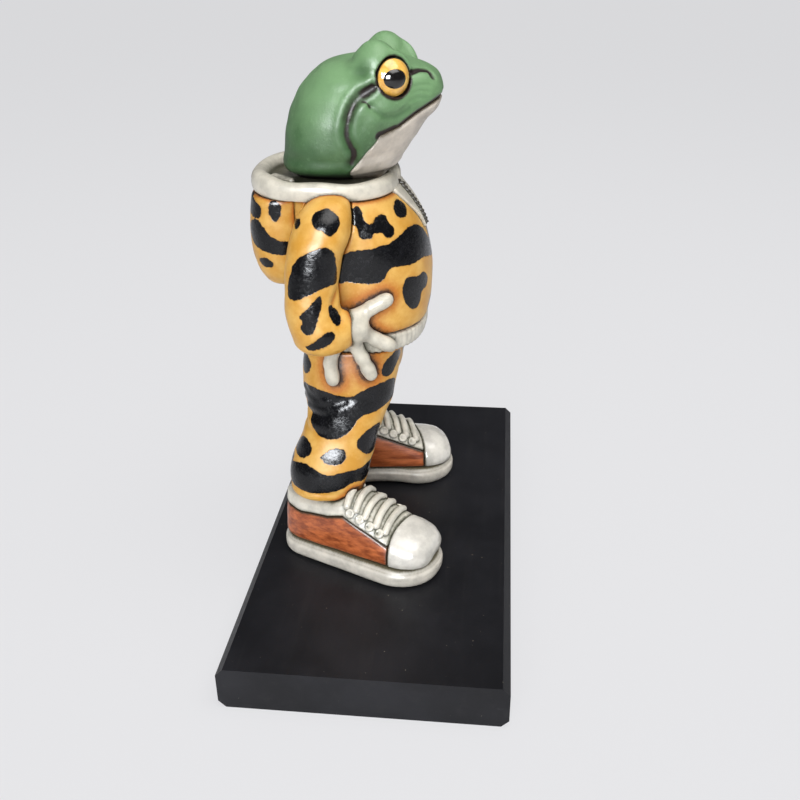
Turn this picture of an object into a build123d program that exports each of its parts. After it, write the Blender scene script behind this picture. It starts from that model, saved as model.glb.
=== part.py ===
from build123d import *
import os
from math import acos, cos, degrees, pi, radians, sin, sqrt

# A standing frog figurine in a hooded tracksuit and laced shoes, screwed to a flat wooden board.
# Units are millimetres, +Z is up and the figure faces -Y, so its right side is at -X.
# The origin is the middle of the board's underside. Right-hand pieces are drawn, left ones mirrored.

# Board
BOARD_LENGTH = 150.0
BOARD_WIDTH = 75.0
BOARD_THICKNESS = 12.5
BOARD_CHAMFER = 2.0
FIGURE_SET_BACK = 7.0          # the body's middle line lies this far behind the board's

# Wood screws, driven from below into each shoe
SCREW_SHANK_RADIUS = 1.75
SCREW_HEAD_RADIUS = 3.6
SCREW_HEAD_DEPTH = 2.4
SCREW_GRIP = 12.0              # length of thread above the board
SCREW_SLOT_WIDTH = 0.9
SCREW_SLOT_DEPTH = 1.0
SCREW_RECESS = 0.6

# Shoes
STANCE_WIDTH = 38.0            # between the two heel centres
HEEL_SET_BACK = 15.0           # heel centre behind the body's middle line
TOE_OUT_DEGREES = 17.2
SHOE_SPAN = 28.8               # heel centre to toe centre
SOLE_HEEL_RADIUS = 8.5
SOLE_TOE_RADIUS = 12.0
SOLE_WAIST_RADIUS = 30.0
SOLE_THICKNESS = 6.0
SOLE_ROUNDING = 2.2
UPPER_INSET = 1.5              # the sole's edge stands this far outside the upper
UPPER_WIDTH = 20.4
UPPER_HEIGHT = 17.6
UPPER_SQUARENESS = 2.6
STAY_HEEL_HEIGHT = 10.4        # lower edge of the white collar and lace stay, above the sole
STAY_ANKLE_HEIGHT = 12.4
STAY_TOE_HEIGHT = 5.6
STAY_ANKLE_REACH = 13.5        # where that edge starts to run down, from the heel centre
LACE_COUNT = 5
LACE_RADIUS = 1.05
LACE_SINK = 0.35               # how deep a lace lies in the tongue
LACE_END_DEGREES = 57.0        # how far round the arched upper a lace starts
EYELET_DEGREES = 47.0
EYELET_RADIUS = 1.35
EYELET_HOLE_RADIUS = 0.6
EYELET_THICKNESS = 1.2
EYELET_SINK = 0.6

# Trousers
LEG_HEIGHT = 43.5
LEG_WIDTH = 20.8
LEG_DEPTH = 27.4
HIP_SPREAD = 20.0              # between the middles of the two thighs
ANKLE_SINK = 4.0               # how far the leg peg goes down into the shoe
ANKLE_PEG_RADIUS = 4.5
CUFF_HEIGHT = 15.0             # trouser hem above the top of the sole
SEAT_HEIGHT = 15.5
SEAT_WIDTH = 29.0
SEAT_DEPTH = 27.6

# Jacket
HEM_HEIGHT = 4.8
TORSO_HEIGHT = 36.2
TORSO_WIDTH = 43.0
TORSO_DEPTH = 38.0
BODY_SQUARENESS = 2.4
PLACKET_PROUD = 0.8
PLACKET_TOP_WIDTH = 15.0
PLACKET_FOOT_WIDTH = 4.0
PLACKET_HEIGHT = 13.5
ZIP_PROUD = 0.7
ZIP_WIDTH = 1.8
POUCH_HEIGHT = 26.0
POUCH_WIDTH = 37.0
POUCH_DEPTH = 19.0
POUCH_REACH = 30.2             # furthest point of the hood pouch behind the body's middle line
LINING_HEIGHT = 7.4
LINING_WIDTH = 41.0
LINING_DEPTH = 39.6
LINING_WALL = 4.6
LINING_SET_BACK = 9.6
LINING_MOUTH_WIDTH = 7.0       # opening of the rim under the chin

# Sleeves
SLEEVE_HEIGHT = 41.0
SLEEVE_WIDTH = 15.0
SLEEVE_DEPTH = 15.2
SLEEVE_SPREAD = 5.0            # the elbow's middle stands this far outside the torso
SHOULDER_DROP = 2.6            # the neck line is this far below the top of the sleeve
FOREARM_LENGTH = 8.6
FOREARM_DEPTH = 11.6
CUFF_DEPTH = 9.6

# Hands, spread on the hips
PALM_WIDTH = 12.6
PALM_THICKNESS = 5.4
PALM_REACH = 11.0
FINGER_RADIUS = 2.1
FINGER_TIP_RADIUS = 2.2
FINGER_SPREAD = 15.6
WRIST_PEG_RADIUS = 2.4
WRIST_PEG_LENGTH = 5.0

# Head
HEAD_HEIGHT = 33.4
HEAD_WIDTH = 36.0
HEAD_LENGTH = 42.0
HEAD_SET_BACK = 0.2
HEAD_TAPER_SHARE = 0.2
HEAD_SQUARENESS = 2.05
NECK_PEG_RADIUS = 6.0
NECK_PEG_LENGTH = 8.0
BROW_WIDTH = 12.6
BROW_LENGTH = 15.6
BROW_HEIGHT = 13.0
EYE_RADIUS = 5.3
PUPIL_WIDTH = 6.6
PUPIL_HEIGHT = 4.4
PUPIL_PROUD = 0.35

# Fits
PEG_CLEARANCE = 0.1
NECK_CLEARANCE = 0.3
OVERRUN = 5.0                  # cutting bodies run this far past what they cut

# Heights of the seams, each above the last
board_top = BOARD_THICKNESS
sole_top = board_top + SOLE_THICKNESS
cuff_z = sole_top + CUFF_HEIGHT
hem_z = cuff_z + LEG_HEIGHT
seat_z = hem_z - SEAT_HEIGHT
chest_z = hem_z + HEM_HEIGHT
neck_z = chest_z + TORSO_HEIGHT
shoulder_z = neck_z + SHOULDER_DROP

SECTION_POINTS = 16

# Places worked out as shares of the piece that carries them
ANKLE_BACK_SHARE = 0.38        # of the thigh's depth, behind the body's middle line
ELBOW_RISE_SHARE = 0.56        # of the forearm's depth, above the bottom of the sleeve
SHOULDER_IN_SHARE = 0.5        # of the elbow's spread, inside the torso's side
WRIST_IN_SHARE = 0.2           # of the elbow's spread
FOREARM_WIDTH_SHARE = 0.92     # of the forearm's depth
FOREARM_MIDDLE_SHARE = 0.5     # of the forearm's length
FOREARM_CUFF_SHARE = 0.86
PALM_IN_SHARE = 0.04           # of the finger spread
PALM_AHEAD_SHARE = 0.12        # of the palm's reach
PALM_DROP_SHARE = 0.16         # of the palm's width
EYE_SPREAD_SHARE = 0.60        # of the head's width
EYE_AHEAD_SHARE = 0.205        # of the head's length
EYE_RISE_SHARE = 0.875         # of the head's height
BROW_SPREAD_SHARE = 0.57
BROW_AHEAD_SHARE = 0.11
BROW_RISE_SHARE = 0.92
LOOK_SHARES = (-0.84, -0.53, 0.06)      # direction of the right eye's gaze
LACE_POINT_SHARES = (0, 0.25, 0.5, 0.75, 1)

# Tables of shares. Each row of a body is: height, middle across, middle front to back,
# half width, half depth. Half sizes are shares of half the body's width and depth.
LEG_SHARES = [
    (0.000, 0.00, -0.020, 0.80, 0.72),
    (0.022, 0.00, -0.020, 0.88, 0.765),
    (0.090, 0.04, -0.035, 0.94, 0.82),
    (0.195, 0.13, -0.060, 0.97, 0.85),
    (0.300, 0.27, -0.110, 0.96, 0.82),
    (0.410, 0.43, -0.170, 0.94, 0.80),
    (0.525, 0.60, -0.215, 0.96, 0.84),
    (0.630, 0.76, -0.235, 1.00, 0.93),
    (0.750, 0.90, -0.250, 1.05, 0.98),
    (0.875, 0.98, -0.270, 1.08, 1.00),
    (1.000, 1.00, -0.290, 1.02, 0.99),
]
SEAT_SHARES = [
    (0.00, 0.0, 0.130, 0.45, 0.56),
    (0.06, 0.0, 0.126, 0.66, 0.74),
    (0.20, 0.0, 0.120, 0.86, 0.90),
    (0.45, 0.0, 0.108, 0.97, 0.97),
    (0.75, 0.0, 0.098, 1.00, 0.99),
    (1.00, 0.0, 0.090, 1.00, 0.98),
]
HEM_SHARES = [
    (0.00, 0.0, 0.010, 0.91, 0.87),
    (0.25, 0.0, 0.008, 0.94, 0.91),
    (0.75, 0.0, 0.006, 0.945, 0.93),
    (1.00, 0.0, 0.004, 0.93, 0.92),
]
TORSO_SHARES = [
    (0.00, 0.0, 0.000, 0.940, 0.915),
    (0.06, 0.0, -0.004, 0.970, 0.945),
    (0.20, 0.0, -0.006, 0.990, 0.970),
    (0.42, 0.0, 0.000, 1.000, 1.000),
    (0.64, 0.0, 0.010, 1.000, 0.995),
    (0.80, 0.0, 0.035, 0.985, 0.970),
    (0.90, 0.0, 0.070, 0.950, 0.930),
    (1.00, 0.0, 0.110, 0.880, 0.870),
]
POUCH_SHARES = [
    (0.00, 0.0, 0.02, 0.44, 0.36),
    (0.05, 0.0, 0.00, 0.66, 0.60),
    (0.14, 0.0, -0.01, 0.82, 0.80),
    (0.32, 0.0, 0.00, 0.94, 0.96),
    (0.56, 0.0, 0.00, 0.99, 1.00),
    (0.80, 0.0, 0.00, 1.00, 0.98),
    (1.00, 0.0, -0.02, 0.99, 0.93),
]
LINING_SHARES = [
    (0.00, 0.0, -0.005, 0.93, 0.93),
    (0.16, 0.0, 0.000, 0.985, 0.985),
    (0.42, 0.0, 0.000, 1.00, 1.00),
    (0.72, 0.0, 0.000, 0.975, 0.975),
    (0.92, 0.0, 0.000, 0.92, 0.92),
    (1.00, 0.0, 0.000, 0.865, 0.865),
]
# The hollow inside the rim, of the rim's height and of its size inside the wall
LINING_MOUTH_SHARES = [
    (-0.2, 0.0, 0.0, 0.90, 0.90),
    (0.6, 0.0, 0.0, 0.94, 0.94),
    (1.2, 0.0, 0.0, 1.02, 1.02),
]
SLEEVE_SHARES = [
    (0.000, 1.00, 0.04, 0.55, 0.60),
    (0.035, 1.00, 0.03, 0.80, 0.84),
    (0.120, 1.00, 0.05, 0.98, 0.98),
    (0.260, 1.00, 0.15, 0.98, 0.97),
    (0.430, 0.92, 0.17, 0.96, 0.91),
    (0.610, 0.78, 0.12, 0.99, 0.95),
    (0.780, 0.52, 0.00, 1.01, 0.98),
    (0.900, 0.22, -0.12, 0.93, 0.90),
    (0.965, -0.10, -0.20, 0.72, 0.68),
    (1.000, -0.30, -0.24, 0.42, 0.40),
]
HEAD_SHARES = [
    (0.00, 0.0, 0.145, 0.69, 0.64),
    (0.12, 0.0, 0.140, 0.82, 0.71),
    (0.30, 0.0, 0.100, 0.93, 0.80),
    (0.50, 0.0, 0.040, 0.99, 0.89),
    (0.66, 0.0, -0.030, 0.97, 0.93),
    (0.78, 0.0, -0.066, 0.91, 0.86),
    (0.885, 0.0, -0.092, 0.80, 0.735),
    (0.960, 0.0, -0.084, 0.60, 0.52),
    (1.000, 0.0, -0.072, 0.32, 0.28),
]
# Upper of the shoe: distance from heel to toe, sideways shift, half width, height
UPPER_SHARES = [
    (0.000, 0.00, 0.38, 0.72),
    (0.030, 0.00, 0.53, 0.80),
    (0.100, 0.00, 0.70, 0.86),
    (0.220, -0.03, 0.76, 0.90),
    (0.380, -0.07, 0.78, 0.97),
    (0.500, -0.06, 0.84, 0.95),
    (0.640, -0.02, 0.93, 0.73),
    (0.780, 0.00, 1.00, 0.52),
    (0.880, 0.00, 0.96, 0.46),
    (0.950, 0.00, 0.80, 0.38),
    (0.985, 0.00, 0.60, 0.28),
    (1.000, 0.00, 0.42, 0.18),
]
# Where the white throat meets the green head, from the lip down to the neck: shares of the
# head's length behind its front, and of its height
THROAT_SHARES = [
    (-0.30, 0.745),
    (0.00, 0.707),
    (0.065, 0.660),
    (0.145, 0.600),
    (0.235, 0.520),
    (0.335, 0.470),
    (0.37, 0.410),
    (0.42, 0.345),
    (0.47, 0.270),
    (0.525, 0.195),
    (0.55, 0.080),
    (0.56, -0.300),
    (-0.30, -0.300),
]
# Finger ends, right hand: inward, forward, upward shares of the finger spread
FINGER_END_SHARES = [
    (0.26, 0.66, 0.50),
    (0.42, 0.76, -0.30),
    (0.14, 0.30, -0.84),
    (0.06, -0.34, -0.92),
]


def ring(z, middle_x, middle_y, half_x, half_y, squareness, taper_share=0.0):
    """One level outline: a rounded oval, narrower towards the front where it tapers."""
    points = []
    for index in range(SECTION_POINTS):
        angle = 2 * pi * index / SECTION_POINTS - pi / 2
        across = cos(angle)
        along = sin(angle)
        reach = (abs(across) ** squareness + abs(along) ** squareness) ** (-1 / squareness)
        x = middle_x + half_x * reach * across * (1 + taper_share * along)
        points.append(Vector(x, middle_y + half_y * reach * along, z))
    return Wire([Spline(*points, periodic=True)])


def stacked(shares, base_z, height, width, depth, lean_x=(0.0, 0.0), middle_y=0.0,
            squareness=2.0, taper_share=0.0, grown=0.0):
    """A body lofted through level outlines, whose sizes come from a table of shares."""
    rings = []
    for up, across, back, half_x, half_y in shares:
        middle_x = lean_x[0] + (lean_x[1] - lean_x[0]) * across
        rings.append(
            ring(
                base_z + up * height,
                middle_x,
                middle_y + back * depth,
                half_x * width / 2 + grown,
                half_y * depth / 2 + grown,
                squareness,
                taper_share,
            )
        )
    return Solid.make_loft(rings)


def ball(half_x, half_y, half_z, middle):
    """An ellipsoid."""
    return Pos(*middle) * scale(Sphere(1), by=(half_x, half_y, half_z))


def rod(start, end, radius):
    """A round bar between two points."""
    start = Vector(*start)
    run = Vector(*end) - start
    return Plane(origin=start, z_dir=run) * extrude(Circle(radius), run.length)


def side_slab(points, half_width):
    """A body with the given outline in the side view, as wide as asked on both sides."""
    outline = make_face(Polyline(*[(0, y, z) for y, z in points], close=True))
    return extrude(outline, half_width, dir=(1, 0, 0), both=True)


def solid_of(shape):
    """The largest solid of a cut, so that no sliver is left beside it."""
    return max(shape.solids(), key=lambda solid: solid.volume)


def write(name, shape):
    """Write one piece to its own STEP file."""
    export_step(shape, os.path.join("parts", name + ".step"))


def write_pair(name, shape):
    """Write a right-hand piece and its mirror image."""
    write("right_" + name, shape)
    write("left_" + name, mirror(shape, Plane.YZ))


def on_foot(shape):
    """Move a shape from the shoe's own frame, heel centre at its origin, to the right foot."""
    return Pos(-STANCE_WIDTH / 2, FIGURE_SET_BACK + HEEL_SET_BACK, sole_top) * (
        Rot(0, 0, -TOE_OUT_DEGREES) * shape
    )


# Shoes, drawn with the heel centre at the origin and the toe towards -Y; the top of the sole is z = 0
def sole_outline():
    """Heel and toe arcs, straight outside, drawn in at the waist inside."""
    lean = degrees(acos((SOLE_TOE_RADIUS - SOLE_HEEL_RADIUS) / SHOE_SPAN))
    to_heel = SOLE_HEEL_RADIUS + SOLE_WAIST_RADIUS
    to_toe = SOLE_TOE_RADIUS + SOLE_WAIST_RADIUS
    waist_y = -(to_heel**2 - to_toe**2 + SHOE_SPAN**2) / (2 * SHOE_SPAN)
    waist_x = sqrt(to_heel**2 - waist_y**2)
    heel = Vector(0, 0)
    toe = Vector(0, -SHOE_SPAN)
    waist = Vector(waist_x, waist_y)
    tangent = Vector(-sin(radians(lean)), cos(radians(lean)))
    heel_out = heel + tangent * SOLE_HEEL_RADIUS
    toe_out = toe + tangent * SOLE_TOE_RADIUS
    heel_in = heel + (waist - heel).normalized() * SOLE_HEEL_RADIUS
    toe_in = toe + (waist - toe).normalized() * SOLE_TOE_RADIUS
    waist_mid = waist - Vector(SOLE_WAIST_RADIUS, 0)
    edges = [
        ThreePointArc(heel_in, heel + Vector(0, SOLE_HEEL_RADIUS), heel_out),
        Line(heel_out, toe_out),
        ThreePointArc(toe_out, toe - Vector(0, SOLE_TOE_RADIUS), toe_in),
        ThreePointArc(toe_in, waist_mid, heel_in),
    ]
    return make_face(edges)


def upper_ring(station, shift, half_width, height):
    """One upright section of the shoe's upper: an arched outline on a flat bottom."""
    points = []
    half = SECTION_POINTS // 2
    for index in range(half + 1):
        angle = pi * index / half
        across = cos(angle)
        above = sin(angle)
        reach = (abs(across) ** UPPER_SQUARENESS + above**UPPER_SQUARENESS) ** (-1 / UPPER_SQUARENESS)
        x = shift + half_width * reach * across
        z = height * reach * above
        if index in (0, half):
            z = 0.0
        points.append(Vector(x, -station, z))
    return Wire([Spline(*points), Line(points[-1], points[0])])


heel_end = SOLE_HEEL_RADIUS - UPPER_INSET
upper_length = heel_end + SHOE_SPAN + SOLE_TOE_RADIUS - UPPER_INSET
half_upper = UPPER_WIDTH / 2


def upper_station(share):
    """Distance in front of the heel centre."""
    return share * upper_length - heel_end


def upper_place(station, degrees_round):
    """A point on the upper, and the way its surface faces there."""
    share = (station + heel_end) / upper_length
    low, high = next(
        pair for pair in zip(UPPER_SHARES, UPPER_SHARES[1:]) if pair[0][0] <= share <= pair[1][0]
    )
    part = (share - low[0]) / (high[0] - low[0])
    shift = (low[1] + (high[1] - low[1]) * part) * half_upper
    half_width = (low[2] + (high[2] - low[2]) * part) * half_upper
    height = (low[3] + (high[3] - low[3]) * part) * UPPER_HEIGHT
    across = cos(radians(degrees_round))
    above = sin(radians(degrees_round))
    reach = (abs(across) ** UPPER_SQUARENESS + above**UPPER_SQUARENESS) ** (-1 / UPPER_SQUARENESS)
    side = 1 if across > 0 else -1
    facing = Vector(
        side * abs(across) ** (UPPER_SQUARENESS - 1) / half_width,
        0,
        above ** (UPPER_SQUARENESS - 1) / height,
    ).normalized()
    return Vector(shift + half_width * reach * across, -station, height * reach * above), facing


whole_upper = Solid.make_loft(
    [
        upper_ring(upper_station(along), shift * half_upper, wide * half_upper, high * UPPER_HEIGHT)
        for along, shift, wide, high in UPPER_SHARES
    ]
)
sole = extrude(sole_outline(), -SOLE_THICKNESS)
sole = fillet(sole.edges().group_by(Axis.Z)[0] + sole.edges().group_by(Axis.Z)[-1], SOLE_ROUNDING)

cap_block = Pos(0, -SHOE_SPAN - SOLE_TOE_RADIUS, 0) * Box(
    2 * UPPER_WIDTH, 2 * SOLE_TOE_RADIUS, 2 * UPPER_HEIGHT + OVERRUN
)
stay_block = side_slab(
    [
        (SOLE_HEEL_RADIUS + OVERRUN, STAY_HEEL_HEIGHT),
        (-STAY_ANKLE_REACH, STAY_ANKLE_HEIGHT),
        (-SHOE_SPAN, STAY_TOE_HEIGHT),
        (-SHOE_SPAN, UPPER_HEIGHT + OVERRUN),
        (SOLE_HEEL_RADIUS + OVERRUN, UPPER_HEIGHT + OVERRUN),
    ],
    UPPER_WIDTH,
)
toe_cap = solid_of(whole_upper & cap_block)
stay = solid_of((whole_upper - cap_block) & stay_block)
quarter = solid_of(whole_upper - cap_block - stay_block)

lace_first = SHOE_SPAN - 2 * LACE_RADIUS
lace_last = STAY_ANKLE_REACH + LACE_RADIUS
lace_pitch = (lace_first - lace_last) / (LACE_COUNT - 1)
laces = []
eyelets = []
for index in range(LACE_COUNT):
    station = lace_first - lace_pitch * index
    path = []
    for round_share in LACE_POINT_SHARES:
        around = LACE_END_DEGREES + (180 - 2 * LACE_END_DEGREES) * round_share
        place, facing = upper_place(station, around)
        path.append(place + facing * (LACE_RADIUS - LACE_SINK))
    line = Spline(*path)
    lace = sweep(Plane(origin=line @ 0, z_dir=line % 0) * Circle(LACE_RADIUS), line)
    lace += Pos(*path[0]) * Sphere(LACE_RADIUS)
    lace += Pos(*path[-1]) * Sphere(LACE_RADIUS)
    laces.append(solid_of(lace - stay))
    if index == LACE_COUNT - 1:
        continue
    for around in (EYELET_DEGREES, 180 - EYELET_DEGREES):
        place, facing = upper_place(station - lace_pitch / 2, around)
        washer = Plane(origin=place - facing * EYELET_SINK, z_dir=facing) * extrude(
            Circle(EYELET_RADIUS) - Circle(EYELET_HOLE_RADIUS), EYELET_THICKNESS
        )
        eyelets.append(washer - stay - quarter)

# Trouser legs: the hem circles the ankle, and the thighs meet each other and the seat between them
ankle_x = -STANCE_WIDTH / 2
ankle_y = FIGURE_SET_BACK + LEG_DEPTH * ANKLE_BACK_SHARE
leg = stacked(
    LEG_SHARES, cuff_z, LEG_HEIGHT, LEG_WIDTH, LEG_DEPTH,
    lean_x=(ankle_x, -HIP_SPREAD / 2), middle_y=ankle_y, squareness=2.1,
)
half_space = Box(
    BOARD_LENGTH, BOARD_LENGTH, 2 * hem_z + OVERRUN, align=(Align.MAX, Align.CENTER, Align.MIN)
)
ankle_peg = rod((ankle_x, ankle_y, cuff_z - ANKLE_SINK), (ankle_x, ankle_y, cuff_z), ANKLE_PEG_RADIUS)
ankle_socket = rod(
    (ankle_x, ankle_y, cuff_z - ANKLE_SINK),
    (ankle_x, ankle_y, cuff_z + OVERRUN),
    ANKLE_PEG_RADIUS + PEG_CLEARANCE,
)
seat = stacked(
    SEAT_SHARES, seat_z, SEAT_HEIGHT, SEAT_WIDTH, SEAT_DEPTH,
    middle_y=FIGURE_SET_BACK, squareness=BODY_SQUARENESS,
)

leg = solid_of(leg & half_space - seat)

# Screws: countersunk into the board's underside, up through the sole
screw_y = FIGURE_SET_BACK + HEEL_SET_BACK - SHOE_SPAN / 2
screw_x = -STANCE_WIDTH / 2 - SHOE_SPAN / 2 * sin(radians(TOE_OUT_DEGREES))
screw_top = board_top + SCREW_GRIP
head_top = SCREW_RECESS + SCREW_HEAD_DEPTH


def screw_body(clearance):
    """Countersunk screw on its own axis, or the hole for it."""
    low = 0.0 if clearance else SCREW_RECESS
    cone = Pos(0, 0, SCREW_RECESS + SCREW_HEAD_DEPTH / 2) * Cone(
        SCREW_HEAD_RADIUS + clearance, SCREW_SHANK_RADIUS + clearance, SCREW_HEAD_DEPTH
    )
    shank = rod((0, 0, low), (0, 0, screw_top), SCREW_SHANK_RADIUS + clearance)
    body = cone + shank
    if clearance:
        body += rod((0, 0, 0), (0, 0, SCREW_RECESS), SCREW_HEAD_RADIUS + clearance)
    else:
        body -= Pos(0, 0, SCREW_RECESS + SCREW_SLOT_DEPTH / 2) * Box(
            2 * SCREW_HEAD_RADIUS, SCREW_SLOT_WIDTH, SCREW_SLOT_DEPTH
        )
    return Pos(screw_x, screw_y, 0) * body


screw = screw_body(0.0)
screw_hole = screw_body(PEG_CLEARANCE)

board = Box(BOARD_LENGTH, BOARD_WIDTH, BOARD_THICKNESS, align=(Align.CENTER, Align.CENTER, Align.MIN))
board = chamfer(board.edges().filter_by(Axis.X), BOARD_CHAMFER)
board = board - screw_hole - mirror(screw_hole, Plane.YZ)

# Jacket
hem = stacked(
    HEM_SHARES, hem_z, HEM_HEIGHT, TORSO_WIDTH, TORSO_DEPTH,
    middle_y=FIGURE_SET_BACK, squareness=BODY_SQUARENESS,
)


def torso(grown):
    """The jacket's body, or the same body grown outwards to carry the front strip."""
    return stacked(
        TORSO_SHARES, chest_z, TORSO_HEIGHT, TORSO_WIDTH, TORSO_DEPTH,
        middle_y=FIGURE_SET_BACK, squareness=BODY_SQUARENESS, grown=grown,
    )


jacket = torso(0.0)
placket_y = FIGURE_SET_BACK - TORSO_DEPTH / 2
placket_foot = neck_z - PLACKET_HEIGHT


def front_block(top_width, foot_width):
    """A block through the chest, narrowing downwards from the neck."""
    outline = Polyline(
        (-top_width / 2, placket_y, neck_z),
        (top_width / 2, placket_y, neck_z),
        (foot_width / 2, placket_y, placket_foot),
        (-foot_width / 2, placket_y, placket_foot),
        close=True,
    )
    return extrude(make_face(outline), TORSO_DEPTH / 2, dir=(0, 1, 0), both=True)


facing_skin = torso(PLACKET_PROUD)
placket = solid_of((facing_skin & front_block(PLACKET_TOP_WIDTH, PLACKET_FOOT_WIDTH)) - jacket)
zip_strip = solid_of((torso(PLACKET_PROUD + ZIP_PROUD) & front_block(ZIP_WIDTH, ZIP_WIDTH)) - facing_skin)

pouch_y = FIGURE_SET_BACK + POUCH_REACH - POUCH_DEPTH / 2
pouch = stacked(
    POUCH_SHARES, neck_z - POUCH_HEIGHT, POUCH_HEIGHT, POUCH_WIDTH, POUCH_DEPTH,
    middle_y=pouch_y, squareness=BODY_SQUARENESS,
)
lining_y = FIGURE_SET_BACK + LINING_SET_BACK
lining = stacked(
    LINING_SHARES, neck_z, LINING_HEIGHT, LINING_WIDTH, LINING_DEPTH,
    middle_y=lining_y, squareness=BODY_SQUARENESS,
)
lining_mouth = stacked(
    LINING_MOUTH_SHARES, neck_z, LINING_HEIGHT, LINING_WIDTH - 2 * LINING_WALL, LINING_DEPTH - 2 * LINING_WALL,
    middle_y=lining_y, squareness=BODY_SQUARENESS,
)
throat_gap = Pos(0, lining_y - LINING_DEPTH / 2, neck_z) * Box(
    LINING_MOUTH_WIDTH, LINING_DEPTH, 2 * LINING_HEIGHT + OVERRUN
)

# Sleeve: the upper arm hangs at the side and a short forearm turns forward to the wrist
arm_y = FIGURE_SET_BACK + SLEEVE_DEPTH / 2
arm_x = -TORSO_WIDTH / 2 - SLEEVE_SPREAD
inner_x = -TORSO_WIDTH / 2 + SLEEVE_SPREAD * SHOULDER_IN_SHARE
upper_arm = stacked(
    SLEEVE_SHARES, shoulder_z - SLEEVE_HEIGHT, SLEEVE_HEIGHT, SLEEVE_WIDTH, SLEEVE_DEPTH,
    lean_x=(inner_x, arm_x), middle_y=arm_y,
)
elbow_z = shoulder_z - SLEEVE_HEIGHT + FOREARM_DEPTH * ELBOW_RISE_SHARE
forearm_start = Vector(arm_x, arm_y, elbow_z)
wrist = Vector(arm_x + SLEEVE_SPREAD * WRIST_IN_SHARE, arm_y - FOREARM_LENGTH, elbow_z)


def forearm_ring(share, height):
    """One upright section of the forearm."""
    middle = forearm_start + (wrist - forearm_start) * share
    plane = Plane(origin=middle, x_dir=(1, 0, 0), z_dir=wrist - forearm_start)
    return plane * Wire([Ellipse(height * FOREARM_WIDTH_SHARE / 2, height / 2).edge()])


forearm = Solid.make_loft(
    [
        forearm_ring(0.0, FOREARM_DEPTH),
        forearm_ring(FOREARM_MIDDLE_SHARE, FOREARM_DEPTH),
        forearm_ring(FOREARM_CUFF_SHARE, (FOREARM_DEPTH + CUFF_DEPTH) / 2),
        forearm_ring(1.0, CUFF_DEPTH),
    ]
)

# Hand: a flat palm on a wrist peg, with a thumb and three fingers spread on the hip
palm_middle = wrist + Vector(
    FINGER_SPREAD * PALM_IN_SHARE, -PALM_REACH * PALM_AHEAD_SHARE, -PALM_WIDTH * PALM_DROP_SHARE
)
palm = ball(PALM_THICKNESS / 2, PALM_REACH / 2, PALM_WIDTH / 2, palm_middle)
hand = palm
for inward, forward, upward in FINGER_END_SHARES:
    tip = wrist + Vector(inward, -forward, upward) * FINGER_SPREAD
    hand += rod(palm_middle, tip, FINGER_RADIUS)
    hand += Pos(*tip) * Sphere(FINGER_TIP_RADIUS)
into_sleeve = (forearm_start - wrist).normalized() * WRIST_PEG_LENGTH
wrist_peg = rod(wrist, wrist + into_sleeve, WRIST_PEG_RADIUS)
wrist_socket = rod(wrist - into_sleeve, wrist + into_sleeve, WRIST_PEG_RADIUS + PEG_CLEARANCE)

# Head: one rounded body, parted along the mouth and cheek into a green head and a white throat
head_y = FIGURE_SET_BACK + HEAD_SET_BACK


def head_shape(grown):
    """The head without its brows, or the same body grown outwards for a fit."""
    return stacked(
        HEAD_SHARES, neck_z, HEAD_HEIGHT, HEAD_WIDTH, HEAD_LENGTH,
        middle_y=head_y, squareness=HEAD_SQUARENESS, taper_share=HEAD_TAPER_SHARE, grown=grown,
    )


def head_place(spread_share, ahead_share, rise_share):
    """A place on the head's right side, from shares of its width, length and height."""
    return Vector(
        -HEAD_WIDTH / 2 * spread_share,
        head_y - HEAD_LENGTH * ahead_share,
        neck_z + HEAD_HEIGHT * rise_share,
    )


brow_middle = head_place(BROW_SPREAD_SHARE, BROW_AHEAD_SHARE, BROW_RISE_SHARE)
brow = ball(BROW_WIDTH / 2, BROW_LENGTH / 2, BROW_HEIGHT / 2, brow_middle)
eye_middle = head_place(EYE_SPREAD_SHARE, EYE_AHEAD_SHARE, EYE_RISE_SHARE)
eye_ball = Pos(*eye_middle) * Sphere(EYE_RADIUS)
look = Vector(*LOOK_SHARES).normalized()
pupil_middle = eye_middle + look * (EYE_RADIUS + PUPIL_PROUD - PUPIL_HEIGHT / 2)
pupil = Plane(origin=pupil_middle, x_dir=(-look.Y, look.X, 0), z_dir=look) * scale(
    Sphere(1), by=(PUPIL_WIDTH / 2, PUPIL_HEIGHT / 2, PUPIL_HEIGHT / 2)
)

head_front = head_y - HEAD_LENGTH / 2
throat_block = side_slab(
    [(head_front + back * HEAD_LENGTH, neck_z + up * HEAD_HEIGHT) for back, up in THROAT_SHARES],
    HEAD_WIDTH,
)
skull = head_shape(0.0) + brow + mirror(brow, Plane.YZ)
throat = solid_of(skull & throat_block)
head = solid_of(skull - throat_block)
head = solid_of(head - eye_ball - mirror(eye_ball, Plane.YZ))
throat = solid_of(throat - eye_ball - mirror(eye_ball, Plane.YZ))
pupil = solid_of(pupil - eye_ball)
peg_y = lining_y
neck_peg = rod((0, peg_y, neck_z - NECK_PEG_LENGTH), (0, peg_y, neck_z + OVERRUN), NECK_PEG_RADIUS)
neck_socket = rod(
    (0, peg_y, neck_z - NECK_PEG_LENGTH),
    (0, peg_y, neck_z),
    NECK_PEG_RADIUS + PEG_CLEARANCE,
)
head = head + (neck_peg - throat_block)

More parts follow.
